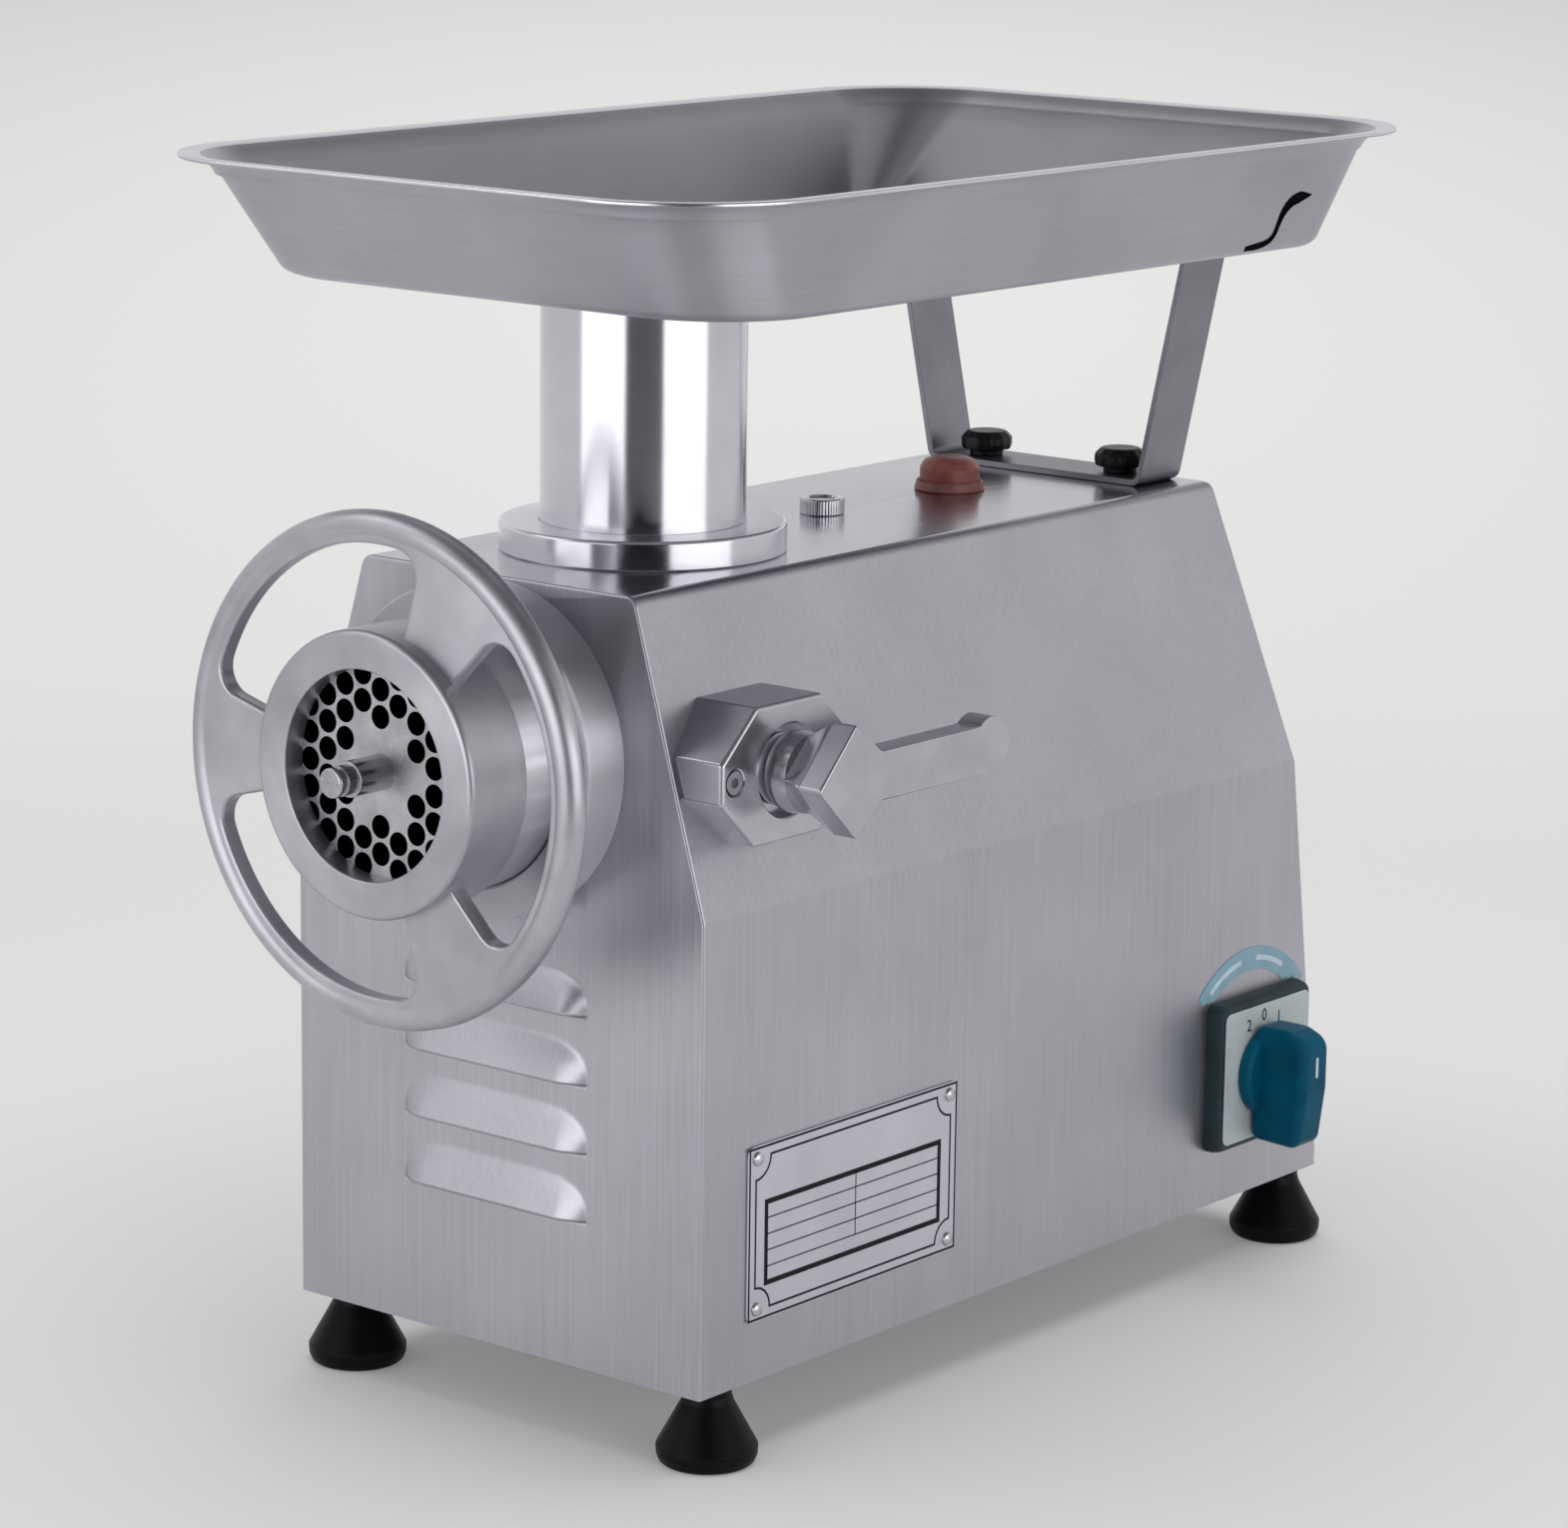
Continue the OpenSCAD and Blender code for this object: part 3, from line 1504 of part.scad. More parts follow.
module gear_case() {
    color(cast)
        difference() {
            union() {
                case_solid(case_wall, cover_rear_y, case_rear_y);
                at_case_screws()
                    translate([0, 0, cover_t])
                        cylinder(r = case_lug_r, h = case_lug_l);
                post(filler_r, axis_z, top_z - sheet - neck_gap, plug_y);
            }
            case_solid(0, cover_rear_y - 1, case_back_y);
            bar(rear_bearing_r + seat_gap, case_back_y - 1, case_back_y + bearing_w);
            bar(output_rear_r + 1, case_back_y, case_rear_y - 1);
            bar(counter_bearing_r + seat_gap, case_back_y - 1, case_back_y + bearing_w, counter_z, counter_x);
            bar(pinion_r + gear_module + 1, case_back_y - 1, case_rear_y + 1, motor_z);
            post(plug_stem_r + screw_gap, axis_z, top_z, plug_y);
            at_case_screws()
                cylinder(r = case_screw_r + screw_gap, h = case_screw_l + case_screw_r);
        }
}

module gear_cover() {
    color(cast)
        difference() {
            union() {
                case_solid(case_wall, barrel_rear_y, cover_rear_y);
                at_case_screws()
                    cylinder(r = case_lug_r, h = cover_t);
            }
            bar(front_bearing_r + seat_gap, cover_rear_y - bearing_w - seal_t, cover_rear_y + 1);
            bar(output_r + 1, barrel_rear_y - 1, cover_rear_y);
            bar(counter_bearing_r + seat_gap, cover_rear_y - bearing_w, cover_rear_y + 1, counter_z, counter_x);
            at_case_screws()
                translate([0, 0, -1])
                    cylinder(r = case_screw_r + screw_gap, h = cover_t + 2);
        }
}

module case_screws() {
    color(dark)
        at_case_screws() {
            translate([0, 0, -case_screw_r])
                cylinder(r = case_screw_r * 1.7, h = case_screw_r);
            translate([0, 0, -case_screw_r / 2])
                cylinder(r = case_screw_r, h = case_screw_l + case_screw_r / 2);
        }
}

module motor_frame() {
    color(iron)
        difference() {
            bar(motor_r, case_rear_y + bell_t, motor_end_y - bell_t, motor_z);
            bar(motor_r - motor_wall, case_rear_y, motor_end_y, motor_z);
        }
}

module motor_bells() {
    color(cast) {
        difference() {
            bar(motor_r, case_rear_y, case_rear_y + bell_t, motor_z);
            bar(motor_bearing_r + seat_gap, case_rear_y + bell_t - bearing_w, motor_end_y, motor_z);
            bar(motor_shaft_r + 2, case_rear_y - 1, motor_end_y, motor_z);
        }
        difference() {
            bar(motor_r, motor_end_y - bell_t, motor_end_y, motor_z);
            bar(motor_bearing_r + seat_gap, motor_end_y - bell_t - 1, motor_end_y - bell_t + bearing_w, motor_z);
            bar(motor_shaft_r + 2, case_rear_y, motor_end_y + 1, motor_z);
        }
    }
}

module stator_core() {
    color(iron)
        difference() {
            bar(motor_r - motor_wall - seat_gap, core_y, core_y + core_length, motor_z);
            bar(stator_bore_r, core_y - 1, core_y + core_length + 1, motor_z);
        }
}

module windings() {
    color(copper)
        for (y = [core_y - winding_l, core_y + core_length])
            difference() {
                bar(winding_r, y, y + winding_l, motor_z);
                bar(stator_bore_r + 4, y - 1, y + winding_l + 1, motor_z);
            }
}

module rotor() {
    color(iron)
        difference() {
            bar(stator_bore_r - air_gap, core_y - 1, core_y + core_length + 1, motor_z);
            bar(motor_shaft_r + seat_gap, core_y - 2, core_y + core_length + 2, motor_z);
        }
}

module motor_shaft() {
    color(steel) {
        bar(motor_shaft_r, fast_y + fast_w, motor_end_y + fan_gap + fan_w + 2, motor_z);
        gear(pinion_teeth, pinion_r, fast_y - pinion_extra / 2, fast_y + fast_w + pinion_extra / 2,
            90 + train_angle + tooth_step / 2, 0, motor_z);
    }
}

module motor_bearings() {
    color(steel) {
        bearing(motor_bearing_r, motor_shaft_r, case_rear_y + bell_t - bearing_w, 0, motor_z);
        bearing(motor_bearing_r, motor_shaft_r, motor_end_y - bell_t, 0, motor_z);
    }
}

module motor_fan() {
    y0 = motor_end_y + fan_gap;
    hub = motor_shaft_r + fan_hub_wall;
    color(dark)
        difference() {
            union() {
                bar(fan_r, y0, y0 + fan_disc_t, motor_z);
                bar(hub, y0, y0 + fan_w, motor_z);
                for (i = [0 : fan_blades - 1])
                    translate([0, y0 + fan_disc_t / 2, motor_z])
                        rotate([0, (i + 0.3) * 360 / fan_blades, 0])
                            translate([hub - fan_blade_t, 0, -fan_blade_t / 2])
                                cube([fan_r - hub, fan_w - fan_disc_t, fan_blade_t]);
            }
            bar(motor_shaft_r + seat_gap, y0 - 1, y0 + fan_w + 1, motor_z);
        }
}

module fan_cowl() {
    y1 = motor_end_y + cowl_l;
    color(iron)
        difference() {
            bar(cowl_r, motor_end_y, y1, motor_z);
            bar(cowl_r - cowl_t, motor_end_y - 1, y1 - cowl_t, motor_z);
            for (a = [0 : 30 : 330])
                translate([0, y1, motor_z])
                    rotate([0, a, 0])
                        translate([20, -cowl_t * 2, -3])
                            cube([32, cowl_t * 4, 6]);
        }
}

module motor_saddles() {
    color(iron)
        for (y = [case_rear_y + bell_t + 12, motor_end_y - bell_t - 12 - saddle_t])
            difference() {
                translate([-saddle_w / 2, y, base_z + base_plate_t])
                    cube([saddle_w, saddle_t, motor_z - motor_r / 2 - base_z - base_plate_t - 10]);
                bar(motor_r + socket_gap, y - 1, y + saddle_t + 1, motor_z);
            }
}

module capacitor() {
    color(steel)
        bar(capacitor_r, capacitor_y, capacitor_y + capacitor_l,
            base_z + base_plate_t + capacitor_r, capacitor_x);
}

module terminal_block() {
    color(cast)
        difference() {
            translate([terminal_at[0], terminal_at[1], base_z + base_plate_t])
                cube(terminal_size);
            for (i = [0 : 2])
                post(4, base_z + base_plate_t + terminal_size[2] - 6, top_z,
                    terminal_at[1] + terminal_size[1] / 2,
                    terminal_at[0] + terminal_size[0] * (i + 0.5) / 3);
        }
}

// Place of the cable gland on the rear panel, with Z pointing out
module gland_place() {
    translate([gland_x, rear_y(gland_z), gland_z])
        rotate([rear_angle - 90, 0, 0])
            children();
}

module cable_gland() {
    color(dark)
        gland_place()
            difference() {
                union() {
                    translate([0, 0, sheet])
                        cylinder(r = gland_hex_r, h = 5, $fn = 6);
                    translate([0, 0, -gland_in])
                        cylinder(r = gland_r, h = gland_in + sheet + gland_out);
                    translate([0, 0, -sheet - 5])
                        cylinder(r = gland_hex_r, h = 5, $fn = 6);
                }
                translate([0, 0, -gland_in - 1])
                    cylinder(r = gland_bore_r, h = gland_in + sheet + gland_out + 2);
            }
}

$fn = 96;
housing_shell();
rear_panel();
rear_panel_screws();
base_plate();
rubber_feet();
foot_screws();
nameplate();
nameplate_rivets();
turn_label();
switch_bezel();
switch_face();
switch_body();
switch_knob();
reset_ring();
reset_button();
reset_breaker();
oil_plug();
tray();
tray_neck();
tray_bracket();
bracket_knob_left();
bracket_knob_right();
feed_tube();
feed_flange();
head_barrel();
head_collar();
collar_screw();
head_socket();
lock_boss();
lock_boss_screws();
lock_screw();
lock_lever();
ring_nut();
hole_plate();
plate_key();
knife();
auger();
auger_stud();
drive_shaft();
output_gear();
gear_bearings();
shaft_seal();
countershaft();
counter_gear();
gear_case();
gear_cover();
case_screws();
motor_frame();
motor_bells();
stator_core();
windings();
rotor();
motor_shaft();
motor_bearings();
motor_fan();
fan_cowl();
motor_saddles();
capacitor();
terminal_block();
cable_gland();
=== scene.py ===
# Bench meat grinder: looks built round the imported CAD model. Metres, origin between the feet, +Z up.
import bpy
import bmesh
import math
from mathutils import Matrix, Vector


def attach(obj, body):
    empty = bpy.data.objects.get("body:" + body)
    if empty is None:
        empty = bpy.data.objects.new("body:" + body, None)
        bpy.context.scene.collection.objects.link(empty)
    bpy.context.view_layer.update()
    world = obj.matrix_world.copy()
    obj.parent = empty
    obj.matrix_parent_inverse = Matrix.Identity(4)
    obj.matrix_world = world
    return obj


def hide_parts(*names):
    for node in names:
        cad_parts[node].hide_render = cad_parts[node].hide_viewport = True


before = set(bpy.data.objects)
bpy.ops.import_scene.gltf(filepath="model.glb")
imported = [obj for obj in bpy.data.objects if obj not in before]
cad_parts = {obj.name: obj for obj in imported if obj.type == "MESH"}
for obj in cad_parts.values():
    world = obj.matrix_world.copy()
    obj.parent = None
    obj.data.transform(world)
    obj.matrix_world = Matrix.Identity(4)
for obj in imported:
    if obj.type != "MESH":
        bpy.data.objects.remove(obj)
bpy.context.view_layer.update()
mm = 0.001
print("frame loaded", len(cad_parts), "nodes")


# Helpers
def colour(hexText):  # sRGB hex to the linear values that the shaders use
    parts = [int(hexText[i:i + 2], 16) / 255 for i in (1, 3, 5)]
    return tuple(c / 12.92 if c <= 0.04045 else ((c + 0.055) / 1.055) ** 2.4 for c in parts) + (1.0,)


def addNode(tree, kind, settings=None, links=None):
    # Settings with a lower-case name belong to the node, the others to its sockets; "stops" fills a ramp
    made = tree.nodes.new(kind)
    for key, value in (settings or {}).items():
        if key == "stops":
            ramp = made.color_ramp
            while len(ramp.elements) < len(value):
                ramp.elements.new(0.5)
            for element, (place, tone) in zip(ramp.elements, value):
                element.position = place
                element.color = colour(tone) if isinstance(tone, str) else (tone, tone, tone, 1)
        elif isinstance(key, str) and key[0].islower():
            setattr(made, key, value)
        else:
            made.inputs[key].default_value = value
    for key, source in (links or {}).items():
        tree.links.new(source, made.inputs[key])
    return made


def newMaterial(name, shader):
    made = bpy.data.materials.new(name)
    made.use_nodes = True
    made.node_tree.nodes.clear()
    principled = addNode(made.node_tree, "ShaderNodeBsdfPrincipled", shader)
    addNode(made.node_tree, "ShaderNodeOutputMaterial", links={"Surface": principled.outputs[0]})
    return made, made.node_tree, principled


def filletPath(points, radii, closed=False, steps=5):
    # Rounds the corners of a 2-D path and gives (point, normal on the right-hand side of travel)
    count = len(points)
    radii = [radii] * count if isinstance(radii, (int, float)) else radii
    made = []
    for i in range(count):
        here = Vector(points[i])
        before = Vector(points[i - 1]) if closed or i else None
        after = Vector(points[(i + 1) % count]) if closed or i < count - 1 else None
        if before is None or after is None:
            way = ((after - here) if before is None else (here - before)).normalized()
            made.append((here, Vector((way.y, -way.x))))
            continue
        inWay, outWay = (here - before).normalized(), (after - here).normalized()
        turn = inWay.angle_signed(outWay, 0)
        if abs(turn) < 1e-4:
            made.append((here, Vector((inWay.y, -inWay.x))))
            continue
        if radii[i] < 1e-6:
            for way in (inWay, outWay):
                made.append((here, Vector((way.y, -way.x))))
            continue
        reach = radii[i] * math.tan(abs(turn) / 2)
        side = 1 if turn < 0 else -1  # Blender's signed angle is clockwise positive
        centre = here - inWay * reach + Vector((-inWay.y, inWay.x)) * radii[i] * side
        arm = here - inWay * reach - centre
        for step in range(steps + 1):
            swung = arm.copy()
            swung.rotate(Matrix.Rotation(-turn * step / steps, 2))
            made.append((centre + swung, swung.normalized() * side))
    return made


def meshObject(name, bm, material, angle=35, weighted=True):
    mesh = bpy.data.meshes.new(name)
    bm.to_mesh(mesh)
    bm.free()
    mesh.materials.append(material)
    mesh.shade_smooth()
    mesh.set_sharp_from_angle(angle=math.radians(angle))
    made = bpy.data.objects.new(name, mesh)
    bpy.context.scene.collection.objects.link(made)
    if weighted:
        addModifier(made, "WEIGHTED_NORMAL", keep_sharp=True)
    return made


def addModifier(piece, kind, **settings):
    made = piece.modifiers.new(kind.title(), kind)
    for key, value in settings.items():
        setattr(made, key, value)
    return made


def bridge(bm, first, second, closed=True):
    count = len(first)
    for i in range(count if closed else count - 1):
        j = (i + 1) % count
        corners = [first[i], first[j], second[j], second[i]]
        unique = [v for k, v in enumerate(corners) if v not in corners[:k]]
        if len(unique) > 2:
            bm.faces.new(unique)


def bridgeAll(bm, loops):
    for first, second in zip(loops, loops[1:]):
        bridge(bm, first, second)


def capped(bm, loops):
    # Closed form through a row of loops
    bridgeAll(bm, loops)
    bm.faces.new(loops[0])
    bm.faces.new(loops[-1])
    bmesh.ops.recalc_face_normals(bm, faces=bm.faces)


def fillFlat(bm, loops, normal):
    # Planar face set bounded by the first loop, with the other loops as holes
    pairs = [(loop[i - 1], loop[i]) for loop in loops for i in [*range(1, len(loop)), 0]]
    edges = [bm.edges.get(pair) or bm.edges.new(pair) for pair in pairs]
    made = bmesh.ops.triangle_fill(bm, edges=edges, use_beauty=True, use_dissolve=False, normal=normal)
    return [part for part in made["geom"] if isinstance(part, bmesh.types.BMFace)]


def onCircle(radius, angle):
    return radius * math.cos(angle), radius * math.sin(angle)


def onAxis(axis, centre, radius, angle, along):
    # Point at a radius round an axis that runs along X, Y or Z
    a, b = onCircle(radius, angle)
    if axis == "X":
        return Vector((along, centre[1] + a, centre[2] + b))
    if axis == "Y":
        return Vector((centre[0] + a, along, centre[2] + b))
    return Vector((centre[0] + a, centre[1] + b, along))


def circle(bm, axis, centre, radius, along, count):
    # Ring of points round an axis; the centre is in metres, the rest in mm
    return [bm.verts.new(onAxis(axis, centre, radius * mm, 2 * math.pi * k / count, along * mm))
            for k in range(count)]


def sideLoop(bm, path, x, y=0.0, z=0.0, pull=0.0):
    # Loop along a (point, normal) path on an upright plane at x, pulled in from the path, in mm
    return [bm.verts.new((x * mm, (y + p.x - n.x * pull) * mm, (z + p.y - n.y * pull) * mm)) for p, n in path]


def quarter(count):
    # Angles of a quarter turn, both ends included
    return [math.pi / 2 * k / count for k in range(count + 1)]


def lathe(name, profile, axis, centre, material, steps=128, closed=True, lobes=None):
    # Turns a profile of (radius, position along the axis), in mm, round an axis
    # lobes is (how many, how deep, beyond which radius), in mm
    lobeCount, lobeDepth, lobeFrom = lobes or (0, 0, math.inf)
    bm = bmesh.new()
    rings = []
    for radius, along in profile:
        if radius < 1e-4:
            rings.append([bm.verts.new(onAxis(axis, centre, 0, 0, along * mm))] * steps)
            continue
        ring = []
        for step in range(steps):
            turn = 2 * math.pi * step / steps
            dent = lobeDepth * (0.5 + 0.5 * math.cos(lobeCount * turn)) if radius > lobeFrom else 0
            ring.append(bm.verts.new(onAxis(axis, centre, (radius - dent) * mm, turn, along * mm)))
        rings.append(ring)
    for i in range(len(rings) if closed else len(rings) - 1):
        bridge(bm, rings[i], rings[(i + 1) % len(rings)])
    bmesh.ops.recalc_face_normals(bm, faces=bm.faces)
    return meshObject(name, bm, material)


def rectangle(y0, y1, z0, z1):
    return [(y0, z0), (y1, z0), (y1, z1), (y0, z1)]


def turned(points, radii, closed=True, steps=4):
    # Points of a path with its corners rounded
    return [tuple(point) for point, _ in filletPath(points, radii, closed, steps)]


def slab(name, outline, axis, low, high, material, edge, segments=3):
    # Extrudes an outline, in mm, between two positions along an axis, and rounds its edges
    bm = bmesh.new()
    loops = []
    for along in (low, high):
        loops.append([bm.verts.new(planePoint(axis, u * mm, v * mm, along * mm)) for u, v in outline])
    bm.faces.new(loops[0])
    bm.faces.new(loops[1])
    bridge(bm, loops[0], loops[1])
    bmesh.ops.recalc_face_normals(bm, faces=bm.faces)
    made = meshObject(name, bm, material, 60, weighted=False)
    addModifier(made, "BEVEL", width=edge * mm, segments=segments, limit_method="ANGLE",
                angle_limit=math.radians(40), use_clamp_overlap=False)
    addModifier(made, "WEIGHTED_NORMAL", keep_sharp=True)
    return made


def planePoint(axis, u, v, along):
    return Vector({"X": (along, u, v), "Y": (u, along, v), "Z": (u, v, along)}[axis])


def faceOut(bm, z, way):
    # Turns the mesh inside out if its level faces at a height look the wrong way
    level = [f for f in bm.faces if abs(f.normal.z) > 0.99 and abs(f.calc_center_median().z - z * mm) < mm]
    if level and level[0].normal.z * way < 0:
        bmesh.ops.reverse_faces(bm, faces=bm.faces)


def joined(name, parts):
    # One mesh of several parts, all in the first part's material
    for part in parts:
        for modifier in list(part.modifiers):
            if modifier.type == "WEIGHTED_NORMAL":
                part.modifiers.remove(modifier)
    graph = bpy.context.evaluated_depsgraph_get()
    bm = bmesh.new()
    for part in parts:
        bm.from_object(part, graph)
    material = parts[0].data.materials[0]
    for part in parts:
        bpy.data.objects.remove(part)
    return meshObject(name, bm, material, 40)


def settle(piece, body, slot, *nodes):
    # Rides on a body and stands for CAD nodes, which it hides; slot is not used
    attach(piece, body)
    if nodes:
        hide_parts(*nodes)
    return piece


def dress(nodeName, material, edge=0.0):
    # Gives a CAD node its material and, where edge is set, softened edges
    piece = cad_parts[nodeName]
    piece.data.materials.clear()
    piece.data.materials.append(material)
    if edge:
        addModifier(piece, "WELD", merge_threshold=0.02 * mm)
        addModifier(piece, "BEVEL", width=edge * mm, segments=2, limit_method="ANGLE",
                    angle_limit=math.radians(35), use_clamp_overlap=True, harden_normals=True)


# Materials
def metal(name, look):
    # Metal with a drawn-out or even grain, slow tone drift and a faint bump; sizes in mm
    made, tree, principled = newMaterial(name, {"Metallic": 1.0, "Roughness": look["roughness"][0],
                                                "Base Color": colour(look["tone"]),
                                                "Anisotropic": look.get("spread", 0.0),
                                                "Anisotropic Rotation": 0.25})
    shape = addNode(tree, "ShaderNodeNewGeometry")
    if "turned" in look:  # fine rings round the axis along Y, so that the shine spreads across them
        rings = addNode(tree, "ShaderNodeTangent", {"direction_type": "RADIAL", "axis": "Y"})
        tree.links.new(rings.outputs[0], principled.inputs["Tangent"])
    elif "spread" in look:  # brushed level, so that the shine spreads up and down
        level = addNode(tree, "ShaderNodeVectorMath", {"operation": "CROSS_PRODUCT", 1: (0, 0.02, 1)},
                        {0: shape.outputs["Normal"]})
        tree.links.new(level.outputs[0], principled.inputs["Tangent"])
    place = addNode(tree, "ShaderNodeTexCoord")
    grains = []
    for size in [look[key] for key in ("grain", "topGrain") if key in look]:
        stretched = addNode(tree, "ShaderNodeMapping", {"Scale": tuple(1 / (s * mm) for s in size)},
                            {"Vector": place.outputs["Object"]})
        grains.append(addNode(tree, "ShaderNodeTexNoise", {"Scale": 1.0, "Detail": 3.0, "Roughness": 0.6},
                              {"Vector": stretched.outputs[0]}).outputs[0])
    grain = grains[0]
    if "topGrain" in look:  # lying faces are brushed in another direction
        facing = addNode(tree, "ShaderNodeSeparateXYZ", links={0: shape.outputs["True Normal"]})
        lying = addNode(tree, "ShaderNodeMath", {"operation": "GREATER_THAN", 1: 0.8},
                        {0: facing.outputs[2]})
        grain = addNode(tree, "ShaderNodeMix", {"data_type": "FLOAT"},
                        {0: lying.outputs[0], 2: grains[0], 3: grains[1]}).outputs[0]
    drift = addNode(tree, "ShaderNodeTexNoise", {"Scale": 1 / (look["drift"] * mm), "Detail": 2.0},
                    {"Vector": place.outputs["Object"]})
    tones = addNode(tree, "ShaderNodeValToRGB", {"stops": [(0.3, look["darker"]), (0.7, look["tone"])]},
                    {0: drift.outputs[0]})
    streaks = addNode(tree, "ShaderNodeMix", {"data_type": "RGBA", "blend_type": "OVERLAY",
                                              0: look["contrast"]},
                      {6: tones.outputs[0], 7: grain})
    tint = streaks.outputs[2]
    if "boreShadeTone" in look:  # painted shade: the walls of bores that run along Y are coloured nearly black
        facing = addNode(tree, "ShaderNodeSeparateXYZ", links={0: shape.outputs["True Normal"]})
        bore = addNode(tree, "ShaderNodeMath", {"operation": "COMPARE", 1: 0.0, 2: 0.7},
                       {0: facing.outputs[1]})
        tint = addNode(tree, "ShaderNodeMix", {"data_type": "RGBA", 7: colour(look["boreShadeTone"])},
                       {0: bore.outputs[0], 6: tint}).outputs[2]
    tree.links.new(tint, principled.inputs["Base Color"])
    rough = addNode(tree, "ShaderNodeMapRange", {3: look["roughness"][0], 4: look["roughness"][1]},
                    {0: grain})
    if "topGrain" in look:
        polish = addNode(tree, "ShaderNodeMapRange", {3: 1.0, 4: look["topGloss"]}, {0: lying.outputs[0]})
        rough = addNode(tree, "ShaderNodeMath", {"operation": "MULTIPLY"},
                        {0: rough.outputs[0], 1: polish.outputs[0]})
    tree.links.new(rough.outputs[0], principled.inputs["Roughness"])
    bump = addNode(tree, "ShaderNodeBump", {"Strength": look["bump"], "Distance": 0.05 * mm},
                   {"Height": grain})
    tree.links.new(bump.outputs[0], principled.inputs["Normal"])
    return made


def plastic(name, look):
    # Moulded plastic or rubber: fine pebbled texture, slow tone drift and a little dust in the gloss
    made, tree, principled = newMaterial(name, {"Roughness": look["roughness"], "IOR": look["ior"],
                                                "Specular IOR Level": look.get("gloss", 0.5),
                                                "Subsurface Weight": look.get("soft", 0.0)})
    place = addNode(tree, "ShaderNodeTexCoord")
    pebbles = addNode(tree, "ShaderNodeTexNoise", {"Scale": 1 / (look["pebble"] * mm), "Detail": 2.0},
                      {"Vector": place.outputs["Object"]})
    drift = addNode(tree, "ShaderNodeTexNoise", {"Scale": 1 / (look["drift"] * mm), "Detail": 3.0},
                    {"Vector": place.outputs["Object"]})
    tones = addNode(tree, "ShaderNodeValToRGB", {"stops": [(0.35, look["darker"]), (0.65, look["tone"])]},
                    {0: drift.outputs[0]})
    tree.links.new(tones.outputs[0], principled.inputs["Base Color"])
    rough = addNode(tree, "ShaderNodeMapRange", {3: look["roughness"] - 0.06, 4: look["roughness"] + 0.08},
                    {0: drift.outputs[0]})
    tree.links.new(rough.outputs[0], principled.inputs["Roughness"])
    bump = addNode(tree, "ShaderNodeBump", {"Strength": look["bump"], "Distance": 0.04 * mm},
                   {"Height": pebbles.outputs[0]})
    tree.links.new(bump.outputs[0], principled.inputs["Normal"])
    return made


# Stainless sheet, brushed with a 180 grit belt: upright hairlines and a soft, wide shine.
# The lines are drawn 3 times coarser, so that they show
brushedStainless = metal("brushedStainless", {
    "tone": "#bdbbc3", "darker": "#b4b2ba", "roughness": (0.30, 0.42), "grain": (0.9, 0.9, 60),
    "topGrain": (0.9, 60, 0.9), "topGloss": 0.55, "drift": 60, "contrast": 0.16, "bump": 0.10})
# Stainless sheet, drawn into a tray and brushed along its length
drawnStainless = metal("drawnStainless", {
    "tone": "#bbbac2", "darker": "#b1b0b8", "roughness": (0.40, 0.48), "grain": (30, 60, 0.7),
    "drift": 50, "contrast": 0.12, "bump": 0.05, "spread": 0.85})
# The same sheet along its level lip: smoother where buffed, and painted brighter than the walls as a
# highlight
polishedLipHighlight = metal("polishedLipHighlight", {
    "tone": "#e6e5ec", "darker": "#dcdbe3", "roughness": (0.24, 0.32), "grain": (6, 6, 0.7),
    "drift": 40, "contrast": 0.08, "bump": 0.03})
# Stainless strip, mill finish: even and a little duller
stripStainless = metal("stripStainless", {
    "tone": "#908f97", "darker": "#86858d", "roughness": (0.30, 0.42), "grain": (12, 0.6, 12),
    "drift": 30, "contrast": 0.15, "bump": 0.08})
# Aluminium, turned and polished: near-mirror with faint turning lines
polishedAluminium = metal("polishedAluminium", {
    "tone": "#e2e1e8", "darker": "#d8d7df", "roughness": (0.19, 0.25), "grain": (14, 14, 0.5),
    "drift": 30, "contrast": 0.06, "bump": 0.02, "spread": 0.85})
# The same, turned about the front-to-back axis
facedAluminium = metal("facedAluminium", {
    "tone": "#d9d8df", "darker": "#cfced6", "roughness": (0.42, 0.50), "grain": (14, 0.5, 14),
    "drift": 30, "contrast": 0.08, "bump": 0.03, "spread": 0.95, "turned": True})
# Aluminium casting, tumbled and satin polished: even pale grey with a soft broad shine
satinCasting = metal("satinCasting", {
    "tone": "#c9c8cf", "darker": "#bdbcc4", "roughness": (0.34, 0.44), "grain": (0.8, 0.8, 0.8),
    "drift": 18, "contrast": 0.10, "bump": 0.10})
# The same casting, polished on a wheel: darker and brighter patches than the satin
polishedCasting = metal("polishedCasting", {
    "tone": "#c6c5cc", "darker": "#bab9c1", "roughness": (0.20, 0.28), "grain": (0.8, 0.8, 0.8),
    "drift": 18, "contrast": 0.10, "bump": 0.08})
# The same casting, turned about the front-to-back axis: fine rings and a streaked shine
turnedCasting = metal("turnedCasting", {
    "tone": "#bfbec5", "darker": "#b2b1b9", "roughness": (0.32, 0.40), "grain": (14, 0.5, 14),
    "drift": 18, "contrast": 0.12, "bump": 0.04, "spread": 0.6, "turned": True})
# Steel, ground and lightly oiled: bright with fine scratches
groundSteel = metal("groundSteel", {
    "tone": "#c2c1c6", "darker": "#a9a8ae", "roughness": (0.16, 0.32), "grain": (1.2, 6, 1.2),
    "drift": 8, "contrast": 0.20, "bump": 0.06})
# The same with drilled bores: their walls are painted nearly black as shade
drilledSteel = metal("drilledSteel", {
    "tone": "#c2c1c6", "darker": "#a9a8ae", "roughness": (0.40, 0.52), "grain": (1.2, 6, 1.2),
    "drift": 8, "contrast": 0.20, "bump": 0.06, "boreShadeTone": "#0b0b0d"})
